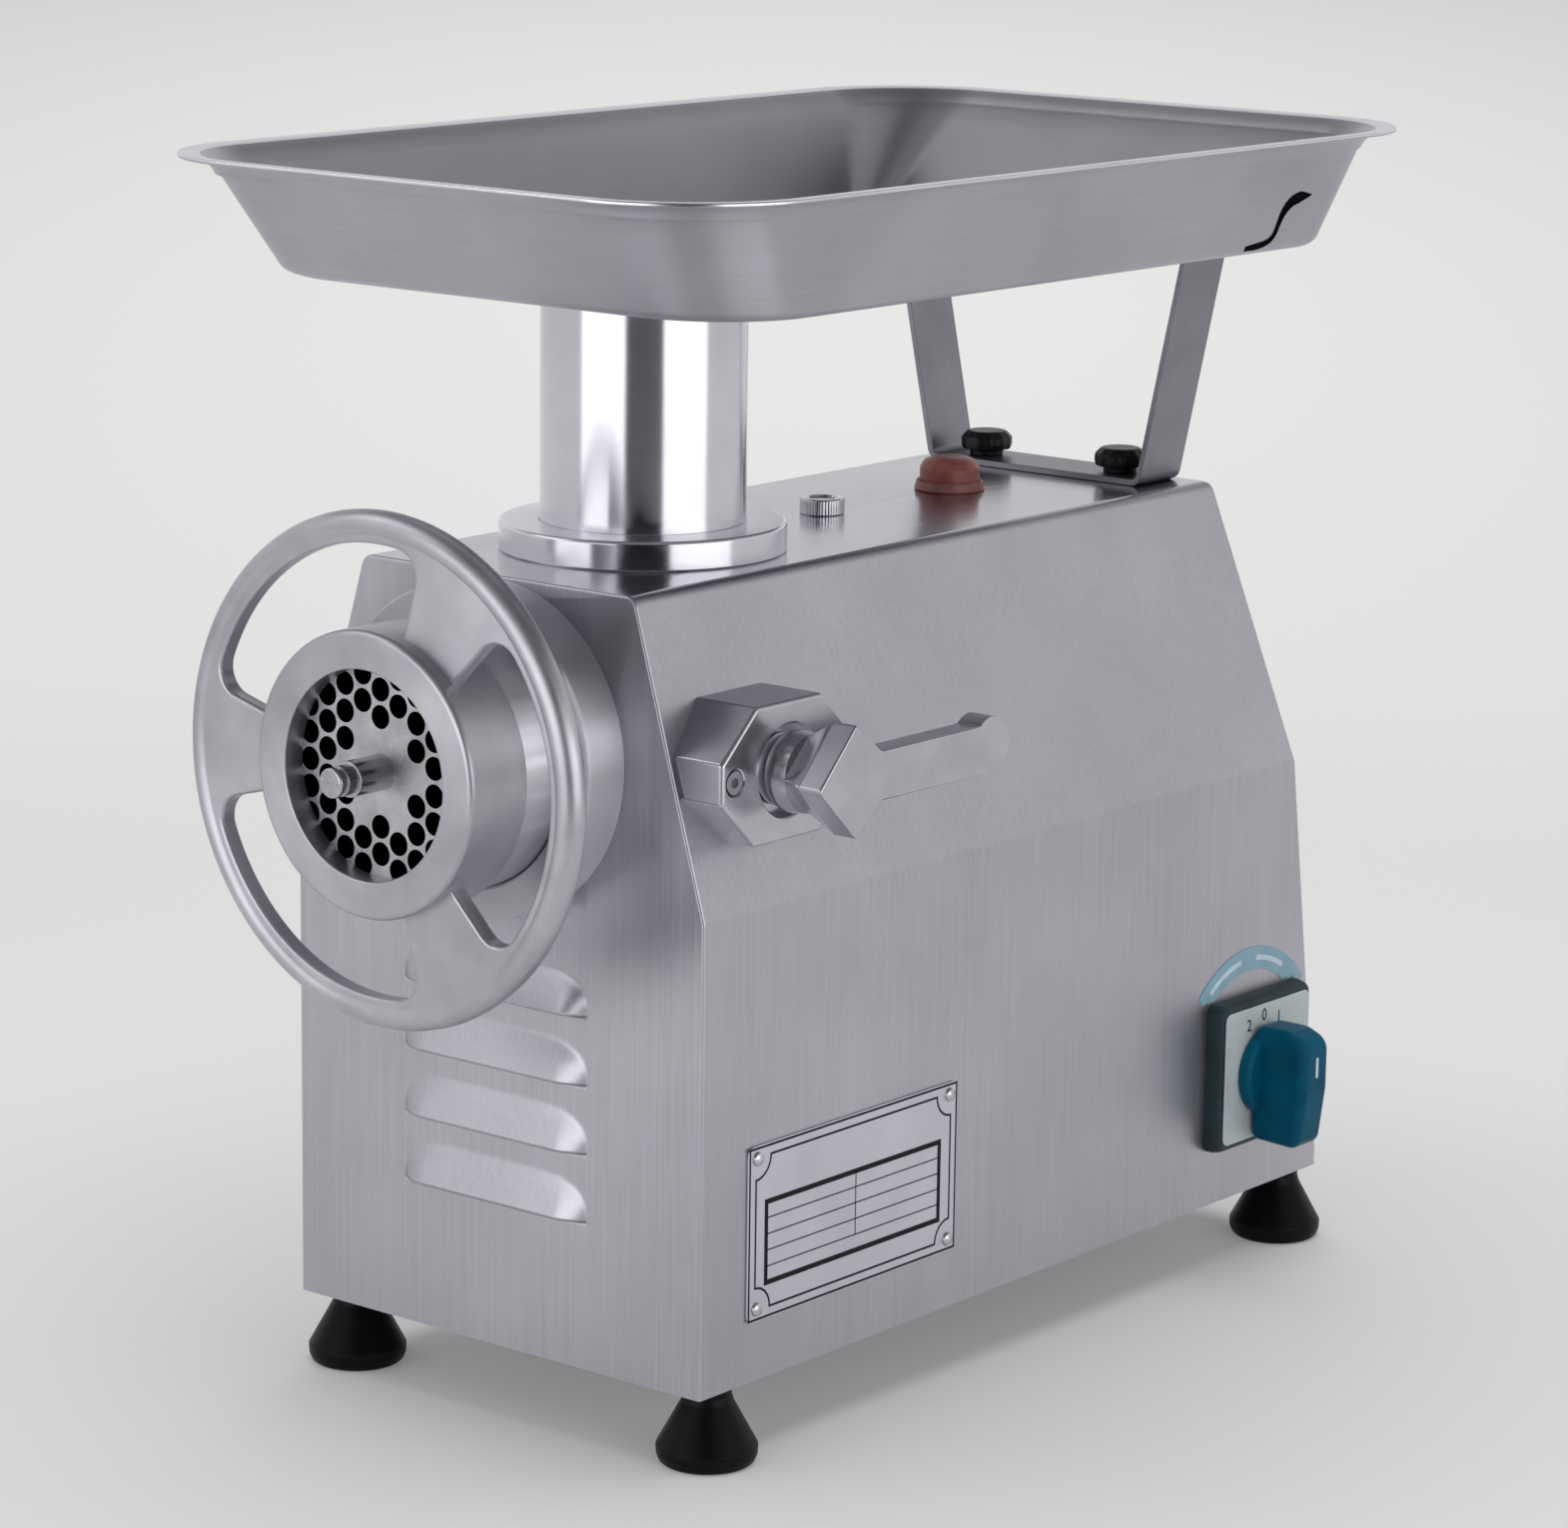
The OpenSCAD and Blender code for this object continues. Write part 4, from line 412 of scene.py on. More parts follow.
# Cast steel, oiled: the knife and the auger, painted dark as shade inside the barrel
oiledSteelInShade = metal("oiledSteelInShade", {
    "tone": "#2c2c30", "darker": "#1e1e22", "roughness": (0.38, 0.55), "grain": (1.0, 4, 1.0),
    "drift": 8, "contrast": 0.20, "bump": 0.06})
# Steel, zinc or chrome plated: small bright fasteners
platedSteel = metal("platedSteel", {
    "tone": "#d2d1d6", "darker": "#b9b8be", "roughness": (0.12, 0.22), "grain": (0.8, 0.8, 0.8),
    "drift": 5, "contrast": 0.12, "bump": 0.04})
# Steel screws, black oxide: dark with an oily sheen
blackedSteel = metal("blackedSteel", {
    "tone": "#3c3c40", "darker": "#2a2a2d", "roughness": (0.30, 0.45), "grain": (0.7, 0.7, 0.7),
    "drift": 4, "contrast": 0.15, "bump": 0.06})
# Grey iron, machined, and steel gears, hobbed and oiled: inside only
machinedIron = metal("machinedIron", {
    "tone": "#77787c", "darker": "#626367", "roughness": (0.35, 0.55), "grain": (1.5, 1.5, 1.5),
    "drift": 15, "contrast": 0.25, "bump": 0.20})
hobbedSteel = metal("hobbedSteel", {
    "tone": "#97979b", "darker": "#838388", "roughness": (0.22, 0.35), "grain": (0.8, 10, 0.8),
    "drift": 10, "contrast": 0.15, "bump": 0.06})
# Aluminium, die cast: duller, with a fine skin
dieCastAluminium = metal("dieCastAluminium", {
    "tone": "#b1b1b5", "darker": "#a2a2a6", "roughness": (0.40, 0.55), "grain": (1.0, 1.0, 1.0),
    "drift": 12, "contrast": 0.18, "bump": 0.20})
# Enamelled copper wire, wound: reddish with rows of turns
woundCopper = metal("woundCopper", {
    "tone": "#b06a3c", "darker": "#94522c", "roughness": (0.25, 0.40), "grain": (6, 1.0, 1.0),
    "drift": 6, "contrast": 0.30, "bump": 0.35})
# Aluminium plate, satin anodised and printed: matt pale face
anodisedPlate = metal("anodisedPlate", {
    "tone": "#d2d1dc", "darker": "#cac9d4", "roughness": (0.34, 0.46), "grain": (1.0, 1.0, 25),
    "drift": 25, "contrast": 0.05, "bump": 0.03})

# Natural rubber, moulded black: deep black with a weak sheen
mouldedRubber = plastic("mouldedRubber", {
    "tone": "#08070a", "darker": "#050507", "roughness": 0.40, "ior": 1.52, "gloss": 0.12,
    "pebble": 0.6, "drift": 9, "bump": 0.25})
# Phenolic, moulded black: harder and a little glossier
mouldedPhenolic = plastic("mouldedPhenolic", {
    "tone": "#121215", "darker": "#0d0d10", "roughness": 0.36, "ior": 1.6, "gloss": 0.25,
    "pebble": 0.5, "drift": 6, "bump": 0.2})
# ABS, moulded dark green: even, with a soft sheen
mouldedGreen = plastic("mouldedGreen", {
    "tone": "#1f3036", "darker": "#19282d", "roughness": 0.40, "ior": 1.54, "gloss": 0.25,
    "pebble": 0.5, "drift": 12, "bump": 0.15})
# ABS, moulded teal and polished by use: deep colour under a narrow shine
mouldedTeal = plastic("mouldedTeal", {
    "tone": "#004f69", "darker": "#00435b", "roughness": 0.30, "ior": 1.54, "gloss": 0.07,
    "pebble": 0.8, "drift": 14, "bump": 0.08})
# Polyester film, printed in two pale teals: smooth and hardly shiny
printedTeal = plastic("printedTeal", {
    "tone": "#7fa3b5", "darker": "#7499ab", "roughness": 0.45, "ior": 1.6,
    "pebble": 1.0, "drift": 10, "bump": 0.04})
printedPale = plastic("printedPale", {
    "tone": "#b9cfd9", "darker": "#afc6d1", "roughness": 0.45, "ior": 1.6,
    "pebble": 1.0, "drift": 10, "bump": 0.04})
# Painted shade for the tray's grooves: dead black, standing in for the shadow deep in each groove
grooveShadePaint = plastic("grooveShadePaint", {
    "tone": "#08080a", "darker": "#050507", "roughness": 0.8, "ior": 1.45, "gloss": 0.05,
    "pebble": 0.4, "drift": 5, "bump": 0.3})
# Ink on metal or plastic, screen printed: flat black
printedInk = plastic("printedInk", {
    "tone": "#111116", "darker": "#0c0c11", "roughness": 0.5, "ior": 1.5, "gloss": 0.15,
    "pebble": 0.5, "drift": 5, "bump": 0.05})
# Polycarbonate face plate, satin: pale grey with a soft shine
satinFace = plastic("satinFace", {
    "tone": "#b4bdbf", "darker": "#aab3b5", "roughness": 0.42, "ior": 1.58,
    "pebble": 0.6, "drift": 12, "bump": 0.05})
# Silicone boot, moulded red: light sinks in a little way
mouldedSilicone = plastic("mouldedSilicone", {
    "tone": "#9b5d58", "darker": "#824642", "roughness": 0.34, "ior": 1.43, "soft": 0.25,
    "pebble": 1.2, "drift": 7, "bump": 0.10})
# Polyamide, moulded ivory, and grey stoving paint: inside only
mouldedIvory = plastic("mouldedIvory", {
    "tone": "#cfc9b8", "darker": "#c4bead", "roughness": 0.5, "ior": 1.53,
    "pebble": 0.7, "drift": 12, "bump": 0.1})
stovedPaint = plastic("stovedPaint", {
    "tone": "#4a4f55", "darker": "#42474d", "roughness": 0.4, "ior": 1.5,
    "pebble": 2.0, "drift": 20, "bump": 0.2})
print("materials made", len(bpy.data.materials))


# Housing
housing = {"widest": 188, "topWidth": 124, "low": 28, "crease": 195, "top": 302.5, "front": -193,
           "rearLow": 186, "rearTop": 145, "sheet": 1.5, "bend": 5, "frontRound": 1.0, "foldRound": 9,
           "louvres": 4, "louvreLow": 81.3, "louvrePitch": 24.4, "louvreFlat": 31, "louvreEnd": 11.5,
           "louvreTaper": 14, "louvreTaperPower": 3.5, "louvreTall": 15, "louvreStand": 4.8,
           "louvreFallPower": 1.1, "louvreMargin": 2,
           "axis": 243, "bore": 52,
           "topHoles": ((-116, 34.4, 64), (-15, 5.3, 24), (62, 3.8, 24))}  # place along Y, radius, points


def rearPlane(z):
    slope = (housing["rearLow"] - housing["rearTop"]) / (housing["top"] - housing["low"])
    return housing["rearLow"] - (z - housing["low"]) * slope


def louvreDepth(x, rise):
    # How far a louvre stands out of the panel: most at its open lower edge, rounded off at both ends
    h = housing
    up = min(max(rise, 0) / h["louvreTall"], 1)
    taper = h["louvreTaper"] * up ** h["louvreTaperPower"]
    along = max(abs(x) - h["louvreFlat"] + taper, 0) / h["louvreEnd"]
    return h["louvreStand"] * max(0.0, 1 - along ** 2) * (1 - up) ** h["louvreFallPower"]


def pressLouvre(bm, low):
    # Louvre with its slot at a height; gives the loop of points that joins it to the panel
    h = housing
    flat, end = h["louvreFlat"], h["louvreEnd"]
    columns = [-flat - end - 3, -flat - end - 1]
    columns += [-flat - end + end * (k / 12) ** 1.6 for k in range(12)]  # closest where it curves most
    columns += [-flat + flat * k / 6 for k in range(6)]
    columns += [0] + [-x for x in columns[::-1]]
    rises = [-h["louvreMargin"], 0.0] + [(h["louvreTall"] + 1) * k / 16 for k in range(17)]
    grid = []
    for row, rise in enumerate(rises):
        stand = [louvreDepth(x, rise) if row > 1 else 0 for x in columns]
        grid.append([bm.verts.new((x * mm, (h["front"] - s) * mm, (low + rise) * mm))
                     for x, s in zip(columns, stand)])
    under, lip = grid[1], grid[2]
    for col, x in enumerate(columns):  # beyond the louvre's ends the slot is closed
        if louvreDepth(x, 0) < 0.05:
            bmesh.ops.pointmerge(bm, verts=[under[col], lip[col]], merge_co=under[col].co)
            lip[col] = under[col] = [v for v in (under[col], lip[col]) if v.is_valid][0]
    for row in range(len(rises) - 1):
        if row != 1:
            bridge(bm, grid[row], grid[row + 1], closed=False)
    side = [row[0] for row in grid]
    other = [row[-1] for row in grid]
    around = grid[0] + other[1:] + grid[-1][::-1][1:] + side[::-1][1:-1]
    return [v for k, v in enumerate(around) if v is not around[k - 1]]


def makeHousing():
    h = housing
    half, topHalf = h["widest"] / 2, h["topWidth"] / 2
    corners = [(half, h["low"]), (half, h["crease"]), (topHalf, h["top"]), (-topHalf, h["top"]),
               (-half, h["crease"]), (-half, h["low"])]
    outline = filletPath(corners, [0, h["foldRound"], h["bend"], h["bend"], h["foldRound"], 0], steps=7)
    bm = bmesh.new()
    rings = []
    for turn in quarter(6):  # from the flat front panel round to the sides
        pull = h["frontRound"] * (1 - math.sin(turn))
        y = h["front"] + h["frontRound"] * (1 - math.cos(turn))
        rings.append([bm.verts.new(((p.x - n.x * pull) * mm, y * mm, (p.y - n.y * pull) * mm))
                      for p, n in outline])
    rings.append([bm.verts.new((p.x * mm, rearPlane(p.y) * mm, p.y * mm)) for p, _ in outline])
    topAt = max(range(len(outline) - 1), key=lambda i: (outline[i][0] - outline[i + 1][0]).length
                if outline[i][0].y > h["top"] - 0.01 else 0)
    for k in range(len(rings) - 1):
        for i in range(len(outline) - 1):
            if k < len(rings) - 2 or i != topAt:
                bm.faces.new((rings[k][i], rings[k][i + 1], rings[k + 1][i + 1], rings[k + 1][i]))
    # Flat top, with the holes for the feed tube, filler plug and reset button
    holes = [circle(bm, "Z", (0, y * mm, 0), radius, h["top"], count) for y, radius, count in h["topHoles"]]
    edge = [rings[-2][topAt], rings[-2][topAt + 1], rings[-1][topAt + 1], rings[-1][topAt]]
    fillFlat(bm, [edge] + holes, Vector((0, 0, 1)))
    # Flat front, with the bore of the head and the louvres
    holes = [circle(bm, "Y", (0, 0, h["axis"] * mm), h["bore"], h["front"], 96)]
    for number in range(h["louvres"]):
        holes.append(pressLouvre(bm, h["louvreLow"] + number * h["louvrePitch"]))
    fillFlat(bm, [rings[0]] + holes, Vector((0, -1, 0)))
    bmesh.ops.recalc_face_normals(bm, faces=bm.faces)
    faceOut(bm, h["top"], 1)
    made = meshObject("housingShell", bm, brushedStainless, 40, weighted=False)
    addModifier(made, "SOLIDIFY", thickness=h["sheet"] * mm, offset=-1.0, use_even_offset=False)
    addModifier(made, "WEIGHTED_NORMAL", keep_sharp=True)
    return settle(made, "housing", "stainless_sheet", "housing_shell")


makeHousing()
print("housing made")


# Tray
tray = {"width": 265, "front": -242, "rear": 194, "rim": 440.5, "floorWidth": 219, "floorFront": -204,
        "floorRear": 148, "floor": 397, "rimCorner": 52, "floorCorner": 38, "floorRearCorner": 14,
        "sheet": 1.5, "lip": 12.5, "lipRise": 4.5, "polishedHighlightDrop": 1.0, "edgeRound": 0.5,
        "lipCurve": [(0, 0), (2.5, 0.02), (5, 0.15), (7.2, 0.6), (9.2, 1.5), (10.8, 2.8), (12.0, 4.3),
                     (12.8, 5.8)],
        "wallLevels": (0.90, 0.76, 0.60, 0.44, 0.30, 0.18),
        "floorCurve": [(0.097, 3.75), (0.05, 2.5), (-0.026, 1.46), (-0.125, 0.67), (-0.24, 0.17),
                       (-0.365, 0.0)],
        "neckY": -116, "neckHole": 29.8, "groove": 3.6, "grooveDeep": 1.0, "grooveY": 100,
        "grooveShares": [0.55, 0.8, 0.75, 0.9, 1.35, 1.3, 0.15],
        "groovePath": [(-8, 2.8), (4, 3.4), (9.5, 6), (10.5, 11), (12, 16), (17, 20), (28, 20.5)]}
wallHeight = tray["rim"] - tray["lipRise"] - tray["floor"]


def roundedRect(half, y0, y1, radius, rearRadius=None, steps=14):
    points = []
    rear = radius if rearRadius is None else rearRadius
    for side, cy, r, start in ((1, y0 + radius, radius, -90), (1, y1 - rear, rear, 0),
                               (-1, y1 - rear, rear, 90), (-1, y0 + radius, radius, 180)):
        for k in range(steps + 1):
            turn = math.radians(start + 90 * k / steps)
            points.append((side * (half - r) + r * math.cos(turn), cy + r * math.sin(turn)))
    return points


def trayOutline(level):
    # Outline of the bowl's outside at a level from 0, the floor, to 1, the upper edge of the walls
    t = tray
    half = t["floorWidth"] / 2 + (t["width"] / 2 - t["lip"] - t["floorWidth"] / 2) * level
    y0 = t["floorFront"] + (t["front"] + t["lip"] - t["floorFront"]) * level
    y1 = t["floorRear"] + (t["rear"] - t["lip"] - t["floorRear"]) * level
    corner = t["rimCorner"] - t["lip"]
    return roundedRect(half, y0, y1, t["floorCorner"] + (corner - t["floorCorner"]) * level,
                       t["floorRearCorner"] + (corner - t["floorRearCorner"]) * level)


def makeGroove(name, side, width, low, high):
    # Ribbon along the S-shaped groove of a side wall, between two distances from the wall's outside
    t = tray
    slope = (t["width"] / 2 - t["lip"] - t["floorWidth"] / 2) / wallHeight
    path = [Vector(q) for q in t["groovePath"]]
    for _ in range(3):  # cut the corners until the path is smooth
        cut = [a.lerp(b, share) for a, b in zip(path, path[1:]) for share in (0.25, 0.75)]
        path = [path[0]] + cut + [path[-1]]
    run = [0.0]
    for a, b in zip(path, path[1:]):
        run.append(run[-1] + (b - a).length)
    shares = t["grooveShares"]
    sides = ([], [])
    for k, p in enumerate(path):  # as wide as the shares say at even steps of the run
        at = run[k] / run[-1] * (len(shares) - 1)
        step = min(int(at), len(shares) - 2)
        share = shares[step] + (shares[step + 1] - shares[step]) * (at - step)
        along = (path[min(k + 1, len(path) - 1)] - path[max(k - 1, 0)]).normalized()
        away = Vector((-along.y, along.x)) * width / 2 * share
        sides[0].append(p + away)
        sides[1].append(p - away)
    ribbon = [(p.x, p.y) for p in sides[0] + sides[1][::-1]]
    bm = bmesh.new()
    capped(bm, [[bm.verts.new((side * (t["floorWidth"] / 2 + slope * z + away) * mm, (t["grooveY"] + y) * mm,
                               (t["floor"] + z) * mm)) for y, z in ribbon] for away in (low, high)])
    return meshObject(name, bm, grooveShadePaint, 30, weighted=False)


def cutGrooves(pan):
    # Cuts the grooves and leaves the result as the pan's own mesh
    t = tray
    cutters = [makeGroove("grooveCutter", side, t["groove"], -t["grooveDeep"], 3) for side in (1, -1)]
    for cutter in cutters:
        addModifier(pan, "BOOLEAN", operation="DIFFERENCE", object=cutter, solver="EXACT")
    graph = bpy.context.evaluated_depsgraph_get()
    mesh = bpy.data.meshes.new_from_object(pan.evaluated_get(graph))
    pan.modifiers.clear()
    pan.data = mesh
    for cutter in cutters:
        bpy.data.objects.remove(cutter)
    mesh.materials.clear()
    mesh.materials.append(drawnStainless)
    mesh.materials.append(polishedLipHighlight)
    for face in mesh.polygons:  # the level lip is buffed smooth, and painted brighter there as a highlight
        face.material_index = int(face.center.z > (t["rim"] - t["polishedHighlightDrop"]) * mm)
    mesh.shade_smooth()
    mesh.set_sharp_from_angle(angle=math.radians(50))


def makeTray():
    t = tray
    loops = []
    for inset, drop in t["lipCurve"]:
        loops.append((roundedRect(t["width"] / 2 - inset, t["front"] + inset, t["rear"] - inset,
                                  t["rimCorner"] - inset), t["rim"] - t["sheet"] - drop))
    for level, z in [(level, wallHeight * level) for level in t["wallLevels"]] + t["floorCurve"]:
        loops.append((trayOutline(level), t["floor"] + z))
    bm = bmesh.new()
    rings = [[bm.verts.new((x * mm, y * mm, z * mm)) for x, y in points] for points, z in loops]
    bridgeAll(bm, rings)
    hole = circle(bm, "Z", (0, t["neckY"] * mm, 0), t["neckHole"], t["floor"], 72)
    fillFlat(bm, [rings[-1], hole], Vector((0, 0, -1)))
    bmesh.ops.recalc_face_normals(bm, faces=bm.faces)
    faceOut(bm, t["floor"], -1)
    made = meshObject("trayPan", bm, drawnStainless, 50, weighted=False)
    addModifier(made, "SOLIDIFY", thickness=t["sheet"] * mm, offset=-1.0, use_even_offset=True)
    addModifier(made, "BEVEL", width=t["edgeRound"] * mm, segments=3, limit_method="ANGLE",
                angle_limit=math.radians(60))
    cutGrooves(made)
    addModifier(made, "WEIGHTED_NORMAL", keep_sharp=True)
    settle(made, "tray", "stainless_sheet", "tray")
    # Dark film a little above each groove's floor: painted shade of the shadow in the groove
    film = [makeGroove("groove", side, t["groove"] - 0.1, 0.05 - t["grooveDeep"], 0.3 - t["grooveDeep"])
            for side in (1, -1)]
    return settle(joined("trayGrooves", film), "tray", "stainless_sheet")


makeTray()
dress("tray_neck", drawnStainless)
print("tray made")


# Head: feed tube, flange, collar and ring nut
head = {"tubeY": -116, "tube": 36.4, "throat": 30, "spigot": 34, "low": 287.5, "seat": 302.5,
        "tubeTop": 396.7, "flange": 50.8, "flangeThick": 10.4, "axis": 243, "collar": 58.5,
        "collarBore": 46.3, "collarFront": -211, "housingFront": -193, "slip": 0.02}
tubeCentre = (0, head["tubeY"] * mm, 0)
axisCentre = (0, 0, head["axis"] * mm)


def makeTube():
    h = head
    profile = [(h["throat"], h["low"]), (h["spigot"], h["low"]), (h["spigot"], h["seat"]),
               (h["tube"], h["seat"]), (h["tube"], h["tubeTop"]), (h["throat"], h["tubeTop"])]
    tube = lathe("feedTube", turned(profile, [0.4, 0.4, 0, 0.2, 0.8, 0.8]), "Z", tubeCentre,
                 polishedAluminium, steps=160)
    settle(tube, "feed_tube", "polished_alloy", "feed_tube")
    upper = h["seat"] + h["flangeThick"]
    bore = h["tube"] + h["slip"]
    profile = [(bore, h["seat"]), (h["flange"] - 0.3, h["seat"]), (h["flange"], h["seat"] + 0.6),
               (h["flange"], upper), (h["tube"] + 0.6, upper), (bore, upper - 0.8)]
    flange = lathe("feedFlange", turned(profile, [0, 0.3, 0.3, 1.4, 0.2, 0]), "Z", tubeCentre,
                   polishedAluminium, steps=160)
    settle(flange, "feed_tube", "polished_alloy", "feed_flange")


def makeCollar():
    h = head
    profile = [(h["collarBore"], h["collarFront"] + 1.2), (h["collarBore"] + 1.0, h["collarFront"]),
               (h["collar"], h["collarFront"]), (h["collar"], h["housingFront"]),
               (h["collarBore"], h["housingFront"])]
    collar = lathe("headCollar", turned(profile, [0.3, 0.3, 1.2, 0.2, 0.2]), "Y", axisCentre,
                   facedAluminium, steps=160)
    settle(collar, "housing", "polished_alloy", "head_collar")


makeTube()
makeCollar()

wheel = {"front": -259, "rear": -231.5, "hub": 49.3, "hubRound": 2.2, "aperture": 36, "lip": 8.8,
         "thread": 45.08, "rimAt": 83.3, "rim": 5.2, "rimY": -248.5, "webFront": -252.8, "webBack": -246,
         "webRound": 1.4, "hubLap": 4, "rimLap": 0.5, "webs": 3,
         "openIn": 43.5, "openOut": 77.5, "openHalf": 45, "openCorner": 9}


def wheelOpening(turnBy, grow):
    # Rounded opening between two webs, grown outwards by a distance
    w = wheel
    r = w["openCorner"]
    outer, inner = w["openOut"] - r, w["openIn"] + r
    half = math.radians(w["openHalf"])
    outerAt, innerAt = half - math.asin(r / outer), half - math.asin(r / inner)
    bend = half + math.pi / 2
    corner = []
    for reach, at, start, stop, first in ((outer, outerAt, outerAt, bend, 1),
                                          (inner, innerAt, bend, math.pi + innerAt, 0)):
        for k in range(first, 9):
            a = start + (stop - start) * k / 8
            corner.append((reach * math.cos(at) + (r + grow) * math.cos(a),
                           reach * math.sin(at) + (r + grow) * math.sin(a)))
    outerEdge = [onCircle(w["openOut"] + grow, -outerAt + 2 * outerAt * k / 24) for k in range(25)]
    innerEdge = [onCircle(w["openIn"] - grow, innerAt - 2 * innerAt * k / 16) for k in range(1, 16)]
    points = outerEdge + corner + innerEdge + [(x, -z) for x, z in corner[::-1]]
    c, s = math.cos(turnBy), math.sin(turnBy)
    return [(x * c - z * s, x * s + z * c) for x, z in points]


def makeWebs():
    w = wheel
    bm = bmesh.new()
    front, back = w["webFront"], w["webBack"]
    edge = [(w["webRound"] * (1 - math.sin(turn)), w["webRound"] * (1 - math.cos(turn)))
            for turn in quarter(5)]
    levels = [(grow, front + deep) for grow, deep in edge]
    levels += [(grow, back - deep) for grow, deep in edge[::-1]]
    openings = []
    for web in range(w["webs"]):
        loops = [[bm.verts.new((x * mm, y * mm, (head["axis"] + z) * mm))
                  for x, z in wheelOpening(2 * math.pi * web / w["webs"], grow)] for grow, y in levels]
        bridgeAll(bm, loops)
        openings.append(loops)
    for y, normal, level in ((front, -1, 0), (back, 1, -1)):
        inner = circle(bm, "Y", axisCentre, w["aperture"] + w["hubLap"], y, 120)
        outer = circle(bm, "Y", axisCentre, w["rimAt"] - w["rimLap"], y, 160)
        fillFlat(bm, [outer, inner] + [loops[level] for loops in openings], Vector((0, normal, 0)))
    bmesh.ops.recalc_face_normals(bm, faces=bm.faces)
    return meshObject("web", bm, turnedCasting, 40)


def makeWheel():
    w = wheel
    seat = w["front"] + w["lip"]
    profile = [(w["aperture"], w["front"]), (w["hub"], w["front"]), (w["hub"], w["rear"]),
               (w["thread"], w["rear"]), (w["thread"], seat), (w["aperture"], seat)]
    hub = lathe("hub", turned(profile, [0.7, w["hubRound"], 0.8, 0.5, 0, 0.3], steps=6), "Y", axisCentre,
                turnedCasting, steps=160)
    section = [(w["rimAt"] + w["rim"] * math.cos(2 * math.pi * k / 28),
                w["rimY"] + w["rim"] * math.sin(2 * math.pi * k / 28)) for k in range(28)]
    rim = lathe("rim", section, "Y", axisCentre, turnedCasting, steps=200)
    return settle(joined("ringNut", [hub, rim, makeWebs()]), "ring_nut", "cast_alloy", "ring_nut")


makeWheel()
for nodeName, material, edge in (
        ("hole_plate", drilledSteel, 0.25), ("plate_key", groundSteel, 0), ("knife", oiledSteelInShade, 0.2),
        ("head_barrel", satinCasting, 0.4), ("collar_screw", blackedSteel, 0.2),
        ("head_socket", machinedIron, 0), ("auger", oiledSteelInShade, 0)):
    dress(nodeName, material, edge)

stud = {"front": -274.5, "tip": 5.2, "grooveFront": -272.4, "grooveRear": -270.6, "groove": 4.5,
        "neckAt": -266, "neck": 6.2, "rear": -205}


def makeStud():
    s = stud
    profile = [(0, s["front"]), (s["tip"], s["front"]), (s["tip"], s["grooveFront"]),
               (s["groove"], s["grooveFront"]), (s["groove"], s["grooveRear"]), (s["tip"], s["grooveRear"]),
               (s["tip"], s["neckAt"]), (s["neck"], s["neckAt"]), (s["neck"], s["rear"]), (0, s["rear"])]
    rounds = [0, 0.9, 0.3, 0.2, 0.2, 0.3, 0.1, 0.4, 0.3, 0]
    made = lathe("augerStud", turned(profile, rounds, closed=False), "Y", axisCentre, groundSteel, steps=64,
                 closed=False)
    return settle(made, "auger_train", "auger_steel", "auger_stud")


makeStud()
print("head made")


# Lock boss and lever
lock = {"y": -155, "z": 243, "face": 99, "foot": 72, "length": 71, "height": 48, "cornerY": 18,
        "cornerZ": 17, "edge": 1.6, "recess": 16.2, "recessDepth": 5, "screwAt": 28.5, "screwHole": 4.6,
        "screwDepth": 3.2, "holeEdge": 0.5, "hub": 13.5, "hubSink": 4.5, "flareStart": 107, "headStart": 118,
        "thick": 10, "headWide": 28, "headCorner": 1.6, "headTurn": 46, "headBlend": 13.6,
        "spread": ((0.0, 0.0), (2.5, 0.12), (5.0, 0.36), (7.5, 0.66), (9.5, 0.88), (11.0, 1.0), (12.0, 1.0)),
        "armLength": 85, "armHeight": 17.2, "endRound": 9.9, "endSteps": 21}
lockCentre = (0, lock["y"] * mm, lock["z"] * mm)


def makeBoss():
    b = lock
    y, z = b["length"] / 2, b["height"] / 2
    innerY, innerZ = y - b["cornerY"], z - b["cornerZ"]
    corners = [(-y, -innerZ), (-innerY, -z), (innerY, -z), (y, -innerZ),
               (y, innerZ), (innerY, z), (-innerY, z), (-y, innerZ)]
    outline = filletPath(corners, 2.0, closed=True, steps=3)
    bm = bmesh.new()
    loops = [sideLoop(bm, outline, b["foot"], b["y"], b["z"])]
    for turn in quarter(4):
        loops.append(sideLoop(bm, outline, b["face"] - b["edge"] * (1 - math.sin(turn)), b["y"], b["z"],
                              b["edge"] * (1 - math.cos(turn))))
    bridgeAll(bm, loops)
    holes = []
    for shift, radius, depth, count in ((0, b["recess"], b["recessDepth"], 64),
                                        (-b["screwAt"], b["screwHole"], b["screwDepth"], 24),
                                        (b["screwAt"], b["screwHole"], b["screwDepth"], 24)):
        centre = (0, (b["y"] + shift) * mm, b["z"] * mm)
        wall = [circle(bm, "X", centre, radius + grow, x, count)
                for grow, x in ((b["holeEdge"], b["face"]), (0.0, b["face"] - b["holeEdge"]),
                                (0.0, b["face"] - depth))]
        bridgeAll(bm, wall)
        bm.faces.new(wall[-1])
        holes.append(wall[0])
    fillFlat(bm, [loops[-1]] + holes, Vector((1, 0, 0)))
    bmesh.ops.recalc_face_normals(bm, faces=bm.faces)
    return settle(meshObject("lockBoss", bm, polishedCasting, 30), "housing", "cast_alloy", "lock_boss")


def makeHub():
    b = lock
    foot, end = b["face"] - b["hubSink"], b["flareStart"] + 1
    profile = [(0, foot), (b["hub"] - 1.2, foot), (b["hub"] - 0.4, b["face"]),
               (b["hub"] + 0.7, b["face"] + 3.5), (b["hub"], end), (0, end)]
    return lathe("hub", turned(profile, [0, 0.6, 3, 4, 0, 0], closed=False), "X", lockCentre, polishedCasting,
                 steps=96, closed=False)


